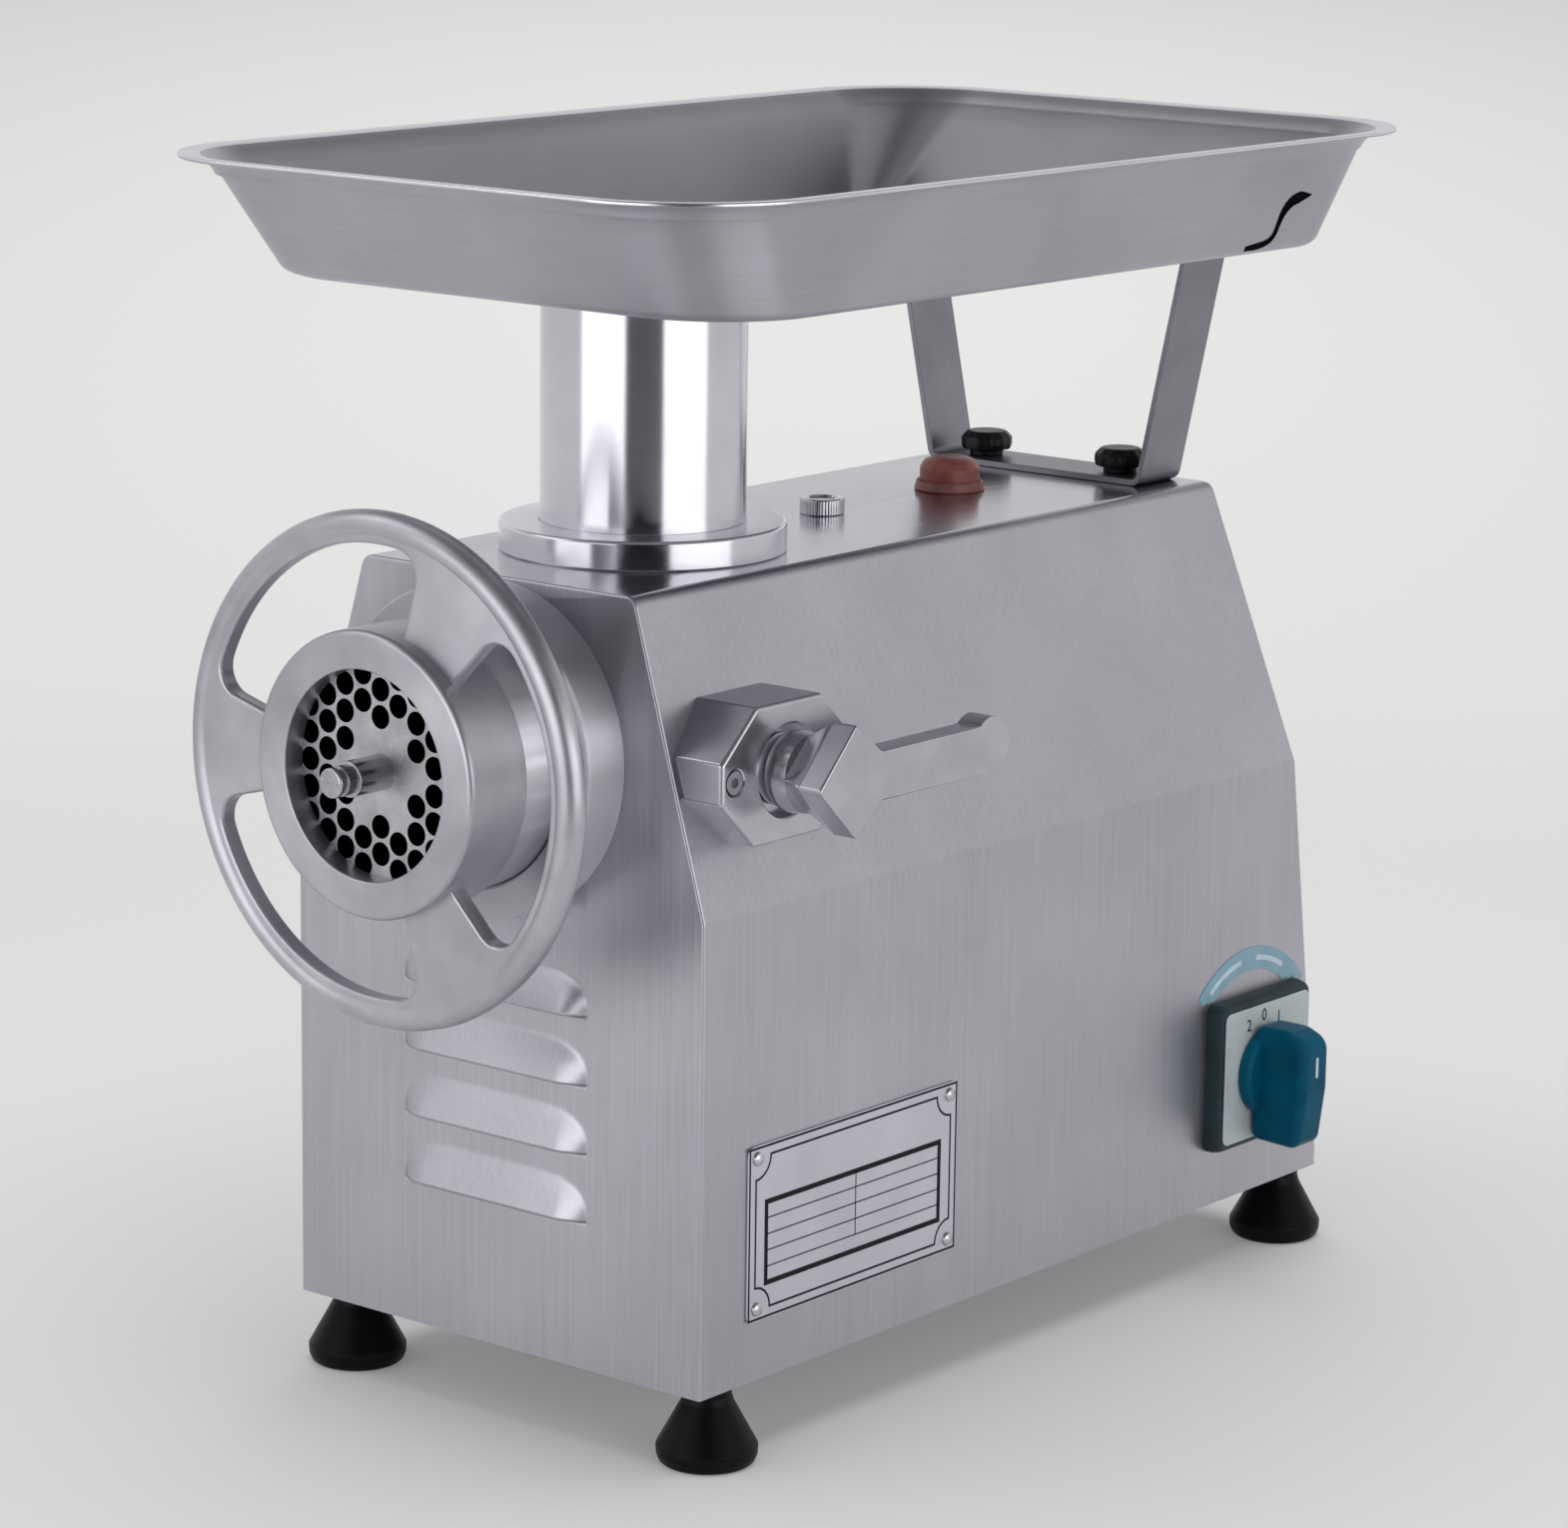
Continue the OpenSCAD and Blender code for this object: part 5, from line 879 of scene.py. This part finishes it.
def makeFlare(square, tilt):
    # Round hub that spreads into the square head
    b = lock
    corner = filletPath(square, b["headCorner"], closed=True, steps=3)
    bm = bmesh.new()
    loops = []
    for x, blend in b["spread"]:
        ring = []
        for p, n in corner:
            spun = tilt @ (p - n * 0.3)  # a little inside the plate's edge
            flat = spun.normalized() * b["hub"] * (1 - blend) + spun * blend
            ring.append(bm.verts.new(((b["flareStart"] + x) * mm, (b["y"] + flat.x) * mm,
                                      (b["z"] + flat.y) * mm)))
        loops.append(ring)
    bridgeAll(bm, loops)
    bmesh.ops.recalc_face_normals(bm, faces=bm.faces)
    return meshObject("flare", bm, polishedCasting, 28)


def makeArm(square, tilt):
    # Head and arm in one plate, with a round raised end
    b = lock
    low = -b["armHeight"] / 2
    endAt, endUp = b["armLength"] - b["endRound"], low + b["endRound"]
    stop = math.asin((-low - endUp) / b["endRound"])
    lower, _, upper, left = (tilt @ Vector(q) for q in square)
    outline = [tuple(upper), tuple(left), tuple(lower), (b["headBlend"], low), (endAt, low)]
    for k in range(1, b["endSteps"] + 1):
        turn = -math.pi / 2 + (math.pi * 1.5 - stop) * k / b["endSteps"]
        outline.append((endAt + b["endRound"] * math.cos(turn), endUp + b["endRound"] * math.sin(turn)))
    outline += [(endAt - b["endRound"] * math.cos(stop) - 4, -low), (b["headBlend"], -low)]
    rounds = [1.2, 1.2, 1.2, 3, 0] + [0] * b["endSteps"] + [3, 2]
    form = turned([(b["y"] + u, b["z"] + v) for u, v in outline], rounds)
    return slab("arm", form, "X", b["headStart"], b["headStart"] + b["thick"], polishedCasting, edge=0.9)


def makeLever():
    a = lock["headWide"] / 2
    square = [(-a, -a), (a, -a), (a, a), (-a, a)]
    tilt = Matrix.Rotation(math.radians(lock["headTurn"]), 2)
    parts = [makeHub(), makeFlare(square, tilt), makeArm(square, tilt)]
    return settle(joined("lockLever", parts), "lock_lever", "cast_alloy", "lock_lever")


makeBoss()
makeLever()
dress("lock_boss_screws", platedSteel, 0.25)
dress("lock_screw", groundSteel)
print("lock made")


# Nameplate, with printed rules only
plate = {"y": -110, "z": 81, "length": 118, "height": 63, "back": 94, "thick": 0.8, "corner": 3,
         "line": 0.8, "thickLine": 1.9, "thinLine": 0.45, "edgeIn": 0.9, "borderIn": 4.2, "notch": 8.0,
         "rivetIn": (5.0, 4.6), "rivet": 2.6, "rivetStem": 1.4, "rivetHigh": 1.5,
         "tableLow": -18.5, "tableHigh": 10.5, "tableFront": -49, "tableRear": 48.5, "rows": 5, "column": 0.5}


def stripe(points, width, x, material, name, closed=False, lift=0.05):
    # Thin printed line along a path on an upright face at a position x, in mm
    path = filletPath(points, 0, closed)
    clean = []
    for p, n in path:
        if clean and (clean[-1][0] - p).length < 1e-6:
            clean[-1] = (p, clean[-1][1] + n)
        else:
            clean.append((p, n))
    if closed and len(clean) > 1 and (clean[0][0] - clean[-1][0]).length < 1e-6:
        clean[0] = (clean[0][0], clean[0][1] + clean[-1][1])
        clean.pop()
    bm = bmesh.new()
    sides = ([], [], [], [])
    for p, n in clean:
        # At a corner n is the sum of two normals, and the line keeps its width
        shift = n * width / (n.length_squared if n.length > 1.01 else 2)
        for loop, way, up in zip(sides, (-1, 1, 1, -1), (0, 0, 1, 1)):
            at = p + way * shift
            loop.append(bm.verts.new(((x + up * lift) * mm, at.x * mm, at.y * mm)))
    for k in range(4):
        bridge(bm, sides[k], sides[(k + 1) % 4], closed)
    if not closed:
        for end in (0, -1):
            bm.faces.new([loop[end] for loop in sides])
    bmesh.ops.recalc_face_normals(bm, faces=bm.faces)
    return meshObject(name, bm, material, 30, weighted=False)


def makeRules():
    p = plate
    y, z = p["length"] / 2, p["height"] / 2
    face = p["back"] + p["thick"]
    iy, iz = y - p["edgeIn"], z - p["edgeIn"]
    by, bz = y - p["borderIn"], z - p["borderIn"]
    border = []
    for a, c, start in ((1, -1, 180), (1, 1, 270), (-1, 1, 0), (-1, -1, 90)):  # notched corners
        for k in range(9):
            across, up = onCircle(p["notch"], math.radians(start - 90 * k / 8))
            border.append((p["y"] + a * by + across, p["z"] + c * bz + up))
    y0, y1, middle = (p["y"] + p[key] for key in ("tableFront", "tableRear", "column"))
    z0, z1 = p["z"] + p["tableLow"], p["z"] + p["tableHigh"]
    rows = [z0 + (z1 - z0) * row / p["rows"] for row in range(1, p["rows"])]
    closed = [(rectangle(p["y"] - iy, p["y"] + iy, p["z"] - iz, p["z"] + iz), p["line"]), (border, p["line"]),
              (rectangle(y0, y1, z0, z1), p["thickLine"])]
    lines = [stripe(points, width, face, printedInk, "rule", closed=True) for points, width in closed]
    lines += [stripe(points, p["thinLine"], face, printedInk, "rule")
              for points in [[(y0, at), (y1, at)] for at in rows] + [[(middle, rows[0]), (middle, z1)]]]
    return settle(joined("nameplateRules", lines), "housing", "nameplate_metal")


def makePlate():
    p = plate
    y, z = p["length"] / 2, p["height"] / 2
    sheet = turned(rectangle(p["y"] - y, p["y"] + y, p["z"] - z, p["z"] + z), p["corner"])
    settle(slab("nameplateSheet", sheet, "X", p["back"], p["back"] + p["thick"], anodisedPlate, edge=0.25),
           "housing", "nameplate_metal", "nameplate")


def makeRivets():
    p = plate
    face = p["back"] + p["thick"]
    crown = face + p["rivetHigh"]
    profile = turned([(0, face - 3), (p["rivetStem"], face - 3), (p["rivetStem"], face), (p["rivet"], face),
                      (p["rivet"] - 0.3, face + 0.9), (1.0, crown), (0, crown)],
                     [0, 0.2, 0, 0.1, 0.6, 1.5, 0], closed=False)
    y, z = p["length"] / 2 - p["rivetIn"][0], p["height"] / 2 - p["rivetIn"][1]
    parts = [lathe("rivet", profile, "X", (0, (p["y"] + a * y) * mm, (p["z"] + c * z) * mm), platedSteel,
                   steps=40, closed=False) for a in (-1, 1) for c in (-1, 1)]
    return settle(joined("nameplateRivets", parts), "housing", "polished_steel", "nameplate_rivets")


makePlate()
makeRules()
makeRivets()
print("nameplate made")


# Rotary switch
switch = {"y": 135, "z": 79, "back": 94, "middleY": 138, "depth": 7.0, "size": (62, 58.5), "taper": 2.0,
          "corner": 4, "face": (56.5, 52), "faceThick": 0.8, "faceCorner": 3,
          "knob": 17, "knobThick": 5, "gripWide": 18, "gripDeep": 24.4, "gripRound": 3.6, "gripUp": 19,
          "gripDown": 27, "gap": 0.4, "pointerWide": 1.6, "pointerLow": 1, "pointerHigh": 9,
          "figureHeight": 5.0, "figureAt": 21.6, "figures": {"1": 62, "0": 90, "2": 118},
          "labelIn": 38, "labelOut": 47, "labelThick": 0.3, "stroke": 2.0, "strokes": ((58, 84), (98, 128))}
switchCentre = (0, switch["y"] * mm, switch["z"] * mm)
switchFront = switch["back"] + switch["depth"]


def centred(size):
    # Rectangle about the origin
    return rectangle(-size[0] / 2, size[0] / 2, -size[1] / 2, size[1] / 2)


def makeBezel():
    s = switch
    bm = bmesh.new()
    loops = []
    for shrink, x, pull in ((0, 0, 0), (0.2, 3, 0), (s["taper"] - 0.8, s["depth"] - 1.6, 0),
                            (s["taper"], s["depth"] - 0.5, 0.2), (s["taper"], s["depth"], 1.0)):
        path = filletPath(centred([side - shrink for side in s["size"]]), s["corner"], closed=True, steps=5)
        loops.append(sideLoop(bm, path, s["back"] + x, s["middleY"], s["z"], pull))
    capped(bm, loops)
    settle(meshObject("switchBezel", bm, mouldedGreen, 35), "housing", "dark_green_plastic", "switch_bezel")
    square = turned([(s["middleY"] + y, s["z"] + z) for y, z in centred(s["face"])], s["faceCorner"])
    settle(slab("switchFace", square, "X", switchFront, switchFront + s["faceThick"], satinFace, edge=0.3),
           "housing", "nameplate_metal", "switch_face")


def makeFigures():
    # Numbers of the three positions, upright on the face plate
    s = switch
    outward = Matrix(((0, 0, 1, 0), (1, 0, 0, 0), (0, 1, 0, 0), (0, 0, 0, 1)))
    for text, angle in s["figures"].items():
        curve = bpy.data.curves.new("figure" + text, "FONT")
        curve.body = text
        curve.size = s["figureHeight"] * 1.35 * mm
        curve.extrude = 0.04 * mm
        curve.align_x = "CENTER"
        curve.align_y = "CENTER"
        curve.materials.append(printedInk)
        figure = bpy.data.objects.new("switchFigure" + text, curve)
        bpy.context.scene.collection.objects.link(figure)
        across, up = onCircle(s["figureAt"], math.radians(angle))
        place = ((switchFront + s["faceThick"] + 0.05) * mm, (s["y"] + across) * mm, (s["z"] + up) * mm)
        figure.matrix_world = Matrix.Translation(place) @ outward
        settle(figure, "housing", "nameplate_metal")


def makeGrip(x0, x1):
    # Rounded block that the fingers turn, between two distances from the housing's middle
    s = switch
    low, high = s["z"] - s["gripDown"], s["z"] + s["gripUp"]
    corners = [(x0, low + 1), (x1 - 3, low), (x1, s["z"] - 4), (x1, high - 4), (x1 - 9, high), (x0, high)]
    side = filletPath(corners, [3.8, 4.5, 14, 7, 10, 3.8], closed=True, steps=6)
    bm = bmesh.new()
    loops = []
    for way, turns in ((-1, quarter(6)[::-1]), (1, quarter(6))):
        for turn in turns:
            pull = s["gripRound"] * (1 - math.cos(turn))
            across = s["gripWide"] / 2 - s["gripRound"] * (1 - math.sin(turn))
            loops.append([bm.verts.new(((p.x - n.x * pull) * mm, (s["y"] + way * across) * mm,
                                        (p.y - n.y * pull) * mm)) for p, n in side])
    capped(bm, loops)
    return meshObject("grip", bm, mouldedTeal, 35)


def makeKnob():
    s = switch
    start = switchFront + s["faceThick"] + s["gap"]
    stop = start + s["knobThick"]
    end = start + s["gripDeep"]
    profile = [(0, start), (s["knob"], start), (s["knob"], stop - 1.5), (s["knob"] - 1.4, stop), (0, stop)]
    disc = lathe("disc", turned(profile, [0, 0.5, 0.6, 0.8, 0], closed=False), "X", switchCentre, mouldedTeal,
                 steps=96, closed=False)
    grip = makeGrip(start, end)
    wide = s["pointerWide"] / 2
    pointer = turned(rectangle(s["y"] - wide, s["y"] + wide, s["z"] + s["pointerLow"],
                               s["z"] + s["pointerHigh"]), 0.5)
    settle(slab("knobPointer", pointer, "X", end - 0.8, end + 0.2, printedPale, edge=0.15), "switch_knob",
           "arc_label_teal")
    settle(joined("switchKnob", [disc, grip]), "switch_knob", "arc_label_teal", "switch_knob")


def makeStrokes():
    # Two plain pale strokes on the arc label
    s = switch
    middle = (s["labelIn"] + s["labelOut"]) / 2
    for number, (start, stop) in enumerate(s["strokes"]):
        turns = [math.radians(start + (stop - start) * k / 12) for k in range(13)]
        arc = [(s["y"] + middle * math.cos(turn), s["z"] + middle * math.sin(turn)) for turn in turns]
        settle(stripe(arc, s["stroke"], s["back"] + s["labelThick"], printedPale, f"labelStroke{number}"),
               "housing", "arc_label_teal")


makeBezel()
makeFigures()
makeKnob()
makeStrokes()
dress("turn_label", printedTeal)
dress("switch_body", mouldedPhenolic, 0.5)
print("switch made")


# Top of the housing
top = {"z": 302.5, "resetY": 62, "ring": 13.5, "ringHigh": 4, "cap": 11.3, "capTop": 12.5, "capLow": 2.8,
       "capSide": 8.5, "capCrown": 11.3, "stem": 3.5, "stemLow": -9,
       "plugY": -15, "plug": 8.3, "plugHigh": 6, "plugStem": 5, "plugDish": 0.8, "knurls": (40, 0.22, 8.0)}


def lifted(profile, z):
    return [(radius, z + up) for radius, up in profile]


def makeReset():
    t = top
    centre = (0, t["resetY"] * mm, 0)
    inner = t["cap"] + 0.3
    profile = lifted([(inner, 0), (t["ring"], 0), (t["ring"] - 0.5, 1.6), (t["cap"] + 1.2, t["ringHigh"]),
                      (inner, t["ringHigh"] - 0.5)], t["z"])
    ring = lathe("resetRing", turned(profile, [0.1, 0.6, 0.8, 0.5, 0.2]), "Z", centre, mouldedSilicone,
                 steps=96)
    settle(ring, "housing", "red_plastic", "reset_ring")
    profile = lifted([(0, t["stemLow"]), (t["stem"], t["stemLow"]), (t["stem"], t["capLow"]),
                      (t["cap"], t["capLow"]), (t["cap"], t["capSide"]), (t["cap"] - 1.6, t["capCrown"]),
                      (t["cap"] - 5.0, t["capTop"]), (0, t["capTop"])], t["z"])
    rounds = [0, 0.4, 0.3, 0.4, 1.6, 2.5, 6, 0]
    button = lathe("resetButton", turned(profile, rounds, closed=False, steps=5), "Z", centre,
                   mouldedSilicone, steps=96, closed=False)
    settle(button, "reset_button", "red_plastic", "reset_button")


def makePlug():
    t = top
    low, dish = t["stemLow"], t["plugHigh"] - t["plugDish"]
    profile = lifted([(0, low), (t["plugStem"], low), (t["plugStem"], 0), (t["plug"], 0),
                      (t["plug"], t["plugHigh"]), (t["plug"] - 2.6, t["plugHigh"]), (t["plug"] - 3.0, dish),
                      (0, dish)], t["z"])
    rounds = [0, 0.3, 0, 0.5, 0.9, 0.3, 0.3, 0]
    plug = lathe("oilPlug", turned(profile, rounds, closed=False), "Z", (0, t["plugY"] * mm, 0), platedSteel,
                 steps=120, closed=False, lobes=t["knurls"])
    settle(plug, "housing", "polished_steel", "oil_plug")


makeReset()
makePlug()
dress("reset_breaker", mouldedPhenolic, 0.4)

bracket = {"y": 128, "wide": 26, "thick": 2.5, "half": 50.6, "lean": 11.5, "tab": 18, "low": 302.5,
           "high": 397, "bend": 4.0, "knobX": 32, "knob": 10, "knobHigh": 7, "neck": 6.5, "neckHigh": 2.6,
           "stud": 3, "studLong": 14, "lobes": (12, 0.35, 7.5)}


def makeBracket():
    b = bracket
    t = b["thick"] / 2
    lean = math.radians(b["lean"])
    run = (b["high"] - b["low"]) * math.tan(lean)
    wide = t / math.cos(lean)
    right = [(b["half"] - wide, b["low"] + t), (b["half"] + run - wide, b["high"] - t),
             (b["half"] + run - b["tab"], b["high"] - t)]
    path = [(-x, z) for x, z in right[::-1]] + right
    line = filletPath(path, [0, b["bend"], b["bend"], b["bend"], b["bend"], 0], steps=6)
    outline = [tuple(p + n * t) for p, n in line] + [tuple(p - n * t) for p, n in line[::-1]]
    made = slab("trayBracket", outline, "Y", b["y"] - b["wide"] / 2, b["y"] + b["wide"] / 2, stripStainless,
                edge=0.35, segments=2)
    return settle(made, "housing", "stainless_sheet", "tray_bracket")


def makeBracketKnob(side, hand):
    b = bracket
    radius, under, over = b["knob"], b["neckHigh"], b["neckHigh"] + b["knobHigh"]
    profile = lifted([(0, -b["studLong"]), (b["stud"], -b["studLong"]), (b["stud"], 0), (b["neck"], 0),
                      (b["neck"], under), (radius - 0.5, under), (radius, under + 2), (radius, over - 2.5),
                      (radius - 2.5, over), (0, over)], b["low"] + b["thick"])
    rounds = [0, 0.3, 0, 0.5, 1, 0.6, 0.8, 1.5, 2.5, 0]
    centre = (side * b["knobX"] * mm, b["y"] * mm, 0)
    knob = lathe("bracketKnob" + hand, turned(profile, rounds, closed=False), "Z", centre, mouldedPhenolic,
                 steps=112, closed=False, lobes=b["lobes"])
    settle(knob, "bracket_knob_" + hand, "black_plastic", "bracket_knob_" + hand)


makeBracket()
makeBracketKnob(-1, "left")
makeBracketKnob(1, "right")
print("top made")


# Feet, rear panel and what is inside
feet = {"pitchX": 166, "pitchY": 351,
        "profile": [(6.2, 12), (6.2, 6), (7, 6), (7, 0), (15.6, 0), (16.8, 1.0), (17.7, 3.2), (17.8, 6.2),
                    (16.6, 8.4), (9.2, 22.0), (8.5, 24.5), (8.5, 28), (3.4, 28), (3.4, 12)],
        "rounds": [0, 0, 0.2, 0.4, 0.5, 1.0, 1.5, 1.5, 2.0, 3.0, 1.0, 0.3, 0, 0]}


def makeFeet():
    profile = turned(feet["profile"], feet["rounds"])
    parts = [lathe("foot", profile, "Z", (x * feet["pitchX"] / 2 * mm, y * feet["pitchY"] / 2 * mm, 0),
                   mouldedRubber, steps=72) for x in (-1, 1) for y in (-1, 1)]
    return settle(joined("rubberFeet", parts), "housing", "black_rubber", "rubber_feet")


makeFeet()
for nodeName, material, edge in (
        ("rear_panel", brushedStainless, 0.3), ("rear_panel_screws", platedSteel, 0.5),
        ("base_plate", stripStainless, 0), ("foot_screws", platedSteel, 0.4),
        ("cable_gland", mouldedPhenolic, 0.6)):
    dress(nodeName, material, edge)
inside = {
    hobbedSteel: ("drive_shaft", "output_gear", "countershaft", "counter_gear", "motor_shaft"),
    groundSteel: ("gear_bearings", "motor_bearings"),
    dieCastAluminium: ("gear_case", "gear_cover", "motor_bells", "capacitor"),
    machinedIron: ("stator_core", "rotor", "motor_saddles"),
    stovedPaint: ("motor_frame", "fan_cowl"),
    mouldedRubber: ("shaft_seal",), blackedSteel: ("case_screws",), woundCopper: ("windings",),
    mouldedPhenolic: ("motor_fan",), mouldedIvory: ("terminal_block",)}
for material, nodeNames in inside.items():
    for nodeName in nodeNames:
        dress(nodeName, material)
print("all pieces made")


# Studio: pale paper, soft lamps round the object and one dark card for the metal to mirror
view = {"azimuth": 38.85, "elevation": 12.20, "roll": 0.78, "target": (23.47, -62.03, 218.05),
        "distance": 1873.9, "lens": 119.38, "sensor": 36, "shift": (-0.0025, 0.0021), "clip": (0.05, 60)}
studio = {"floorReach": 55, "floorTone": "#dddddd", "backTone": "#e8e8e7", "edgeTone": "#cccccc",
          "poolPlace": (0.0, -0.42, 0.0), "poolScale": (0.42, 0.13, 1.0),
          "litNear": 0.30, "litFar": 1.3, "lift": 0.2,
          "horizon": 0.77, "ceiling": 0.16, "fadeFrom": 0.30, "fadeTo": 0.80}


def makeFloor():
    bm = bmesh.new()
    bmesh.ops.create_grid(bm, x_segments=8, y_segments=8, size=studio["floorReach"])
    # Paper, uncoated: even and without a shine
    made, tree, principled = newMaterial("seamlessPaper", {"Roughness": 0.9, "Specular IOR Level": 0.1,
                                                           "Base Color": colour(studio["floorTone"])})
    output = [n for n in tree.nodes if n.type == "OUTPUT_MATERIAL"][0]
    place = addNode(tree, "ShaderNodeTexCoord")
    # Slow pool of light on the backdrop paper, wide behind the object
    pool = addNode(tree, "ShaderNodeMapping", {"Rotation": (0, 0, math.radians(-view["azimuth"]))},
                   {"Vector": place.outputs["Object"]})
    squeezed = addNode(tree, "ShaderNodeMapping", {"Location": studio["poolPlace"],
                                                   "Scale": studio["poolScale"]}, {"Vector": pool.outputs[0]})
    spread = addNode(tree, "ShaderNodeTexGradient", {"gradient_type": "SPHERICAL"},
                     {"Vector": squeezed.outputs[0]})
    tones = addNode(tree, "ShaderNodeValToRGB", {
        "stops": [(0.0, studio["edgeTone"]), (0.9, studio["backTone"])]}, {0: spread.outputs[0]})
    glow = addNode(tree, "ShaderNodeEmission", {"Strength": 1.0}, {"Color": tones.outputs[0]})
    # Painted light: the glow keeps a share of studio lift right up to the object, rising to all of it far
    # off, which lightens the object's shadow on the paper
    reach = addNode(tree, "ShaderNodeVectorMath", {"operation": "LENGTH"}, {0: place.outputs["Object"]})
    fade = addNode(tree, "ShaderNodeMapRange", {
        "interpolation_type": "SMOOTHSTEP", 1: studio["litNear"], 2: studio["litFar"], 3: studio["lift"],
        4: 1.0}, {0: reach.outputs["Value"]})
    rays = addNode(tree, "ShaderNodeLightPath")
    seen = rays.outputs["Is Camera Ray"]
    for kind in ("Is Glossy Ray", "Is Transmission Ray"):  # metal shows the backdrop too
        seen = addNode(tree, "ShaderNodeMath", {"operation": "MAXIMUM"},
                       {0: seen, 1: rays.outputs[kind]}).outputs[0]
    share = addNode(tree, "ShaderNodeMath", {"operation": "MULTIPLY"}, {0: fade.outputs[0], 1: seen})
    mixed = addNode(tree, "ShaderNodeMixShader", links={0: share.outputs[0], 1: principled.outputs[0],
                                                        2: glow.outputs[0]})
    tree.links.new(mixed.outputs[0], output.inputs["Surface"])
    meshObject("studioFloor", bm, made, weighted=False)


def aimed(place, target, depth, upright):
    # Placed somewhere, with one of its own axes turned to a target
    place = Vector(place)
    facing = (Vector(target) - place).to_track_quat(depth, upright)
    return Matrix.Translation(place) @ facing.to_matrix().to_4x4()


def makeLamp(name, size, power, place, target, mirrored=True):
    # Softbox that the camera doesn't see; metal shows it only where it is mirrored
    data = bpy.data.lights.new(name, "AREA")
    data.shape = "RECTANGLE"
    data.size, data.size_y = size
    data.energy = power
    lamp = bpy.data.objects.new(name, data)
    bpy.context.scene.collection.objects.link(lamp)
    lamp.matrix_world = aimed(place, target, "-Z", "Y")
    lamp.visible_camera = False
    lamp.visible_glossy = mirrored


def polar(azimuth, distance, height):
    # Azimuth 0 is in front of the outlet, 90 is the lever's side; in metres
    a = math.radians(azimuth)
    return (math.sin(a) * distance, -math.cos(a) * distance, height)


def makeCard(name, azimuth, distance, width, low, high, tone):
    # Card that only reflections show, in cotton velvet: it swallows the light
    bm = bmesh.new()
    bmesh.ops.create_grid(bm, x_segments=2, y_segments=2, size=0.5)
    made, _, _ = newMaterial(name + "Cloth", {"Roughness": 1.0, "Base Color": colour(tone),
                                              "Specular IOR Level": 0.0})
    card = meshObject(name, bm, made, weighted=False)
    place = polar(azimuth, distance, (low + high) / 2)
    card.matrix_world = aimed(place, (0, 0, place[2]), "Z", "Y") @ Matrix.Diagonal((width, high - low, 1, 1))
    card.visible_camera = card.visible_diffuse = card.visible_shadow = card.visible_transmission = False


def makeWorld():
    # Pale walls under a darker ceiling
    world = bpy.data.worlds.new("studioRoom")
    world.use_nodes = True
    tree = world.node_tree
    tree.nodes.clear()
    place = addNode(tree, "ShaderNodeTexCoord")
    way = addNode(tree, "ShaderNodeSeparateXYZ", links={0: place.outputs["Generated"]})
    wall = addNode(tree, "ShaderNodeMapRange", {
        "interpolation_type": "SMOOTHSTEP", 1: studio["fadeFrom"], 2: studio["fadeTo"], 3: studio["horizon"],
        4: studio["ceiling"]}, {0: way.outputs[2]})
    air = addNode(tree, "ShaderNodeBackground", {"Color": (1, 1, 1, 1)}, {"Strength": wall.outputs[0]})
    addNode(tree, "ShaderNodeOutputWorld", links={0: air.outputs[0]})
    bpy.context.scene.world = world


def makeCamera():
    az, el, roll = (math.radians(view[key]) for key in ("azimuth", "elevation", "roll"))
    back = Vector((math.sin(az) * math.cos(el), -math.cos(az) * math.cos(el), math.sin(el)))
    right = Vector((math.cos(az), math.sin(az), 0))
    up = back.cross(right)
    sideWay = right * math.cos(roll) + up * math.sin(roll)
    upWay = up * math.cos(roll) - right * math.sin(roll)
    data = bpy.data.cameras.new("studioCamera")
    data.sensor_fit = "HORIZONTAL"
    data.sensor_width = view["sensor"]
    data.lens = view["lens"]
    data.shift_x, data.shift_y = view["shift"]
    data.clip_start, data.clip_end = view["clip"]
    camera = bpy.data.objects.new("studioCamera", data)
    bpy.context.scene.collection.objects.link(camera)
    turn = Matrix((sideWay, upWay, back)).transposed().to_4x4()
    place = (Vector(view["target"]) + back * view["distance"]) * mm
    camera.matrix_world = Matrix.Translation(place) @ turn
    bpy.context.scene.camera = camera


lamps = {  # sizes and places in metres, power in watts
    "softboxLeft": {"size": (1.35, 0.7), "power": 3.9, "place": polar(-5, 1.5, 0.34), "target": (0, 0, 0.25)},
    "softboxRight": {"size": (1.45, 0.7), "power": 4.2, "place": polar(84, 1.5, 0.34),
                     "target": (0, 0, 0.25)},
    "softboxTop": {"size": (1.8, 1.8), "power": 26, "place": (0, 0.1, 1.7), "target": (0, 0, 0.2),
                   "mirrored": False},
    "softboxHigh": {"size": (0.9, 0.6), "power": 2.3, "place": polar(-47, 1.33, 1.33),
                    "target": (0, 0, 0.44)}}
makeFloor()
for name, lamp in lamps.items():
    makeLamp(name, **lamp)
makeCard("flagNearCamera", azimuth=38, distance=1.25, width=0.88, low=0.0, high=1.1, tone="#0c0c0e")
makeWorld()
makeCamera()
bpy.context.scene.view_settings.view_transform = "Standard"
print("studio made")
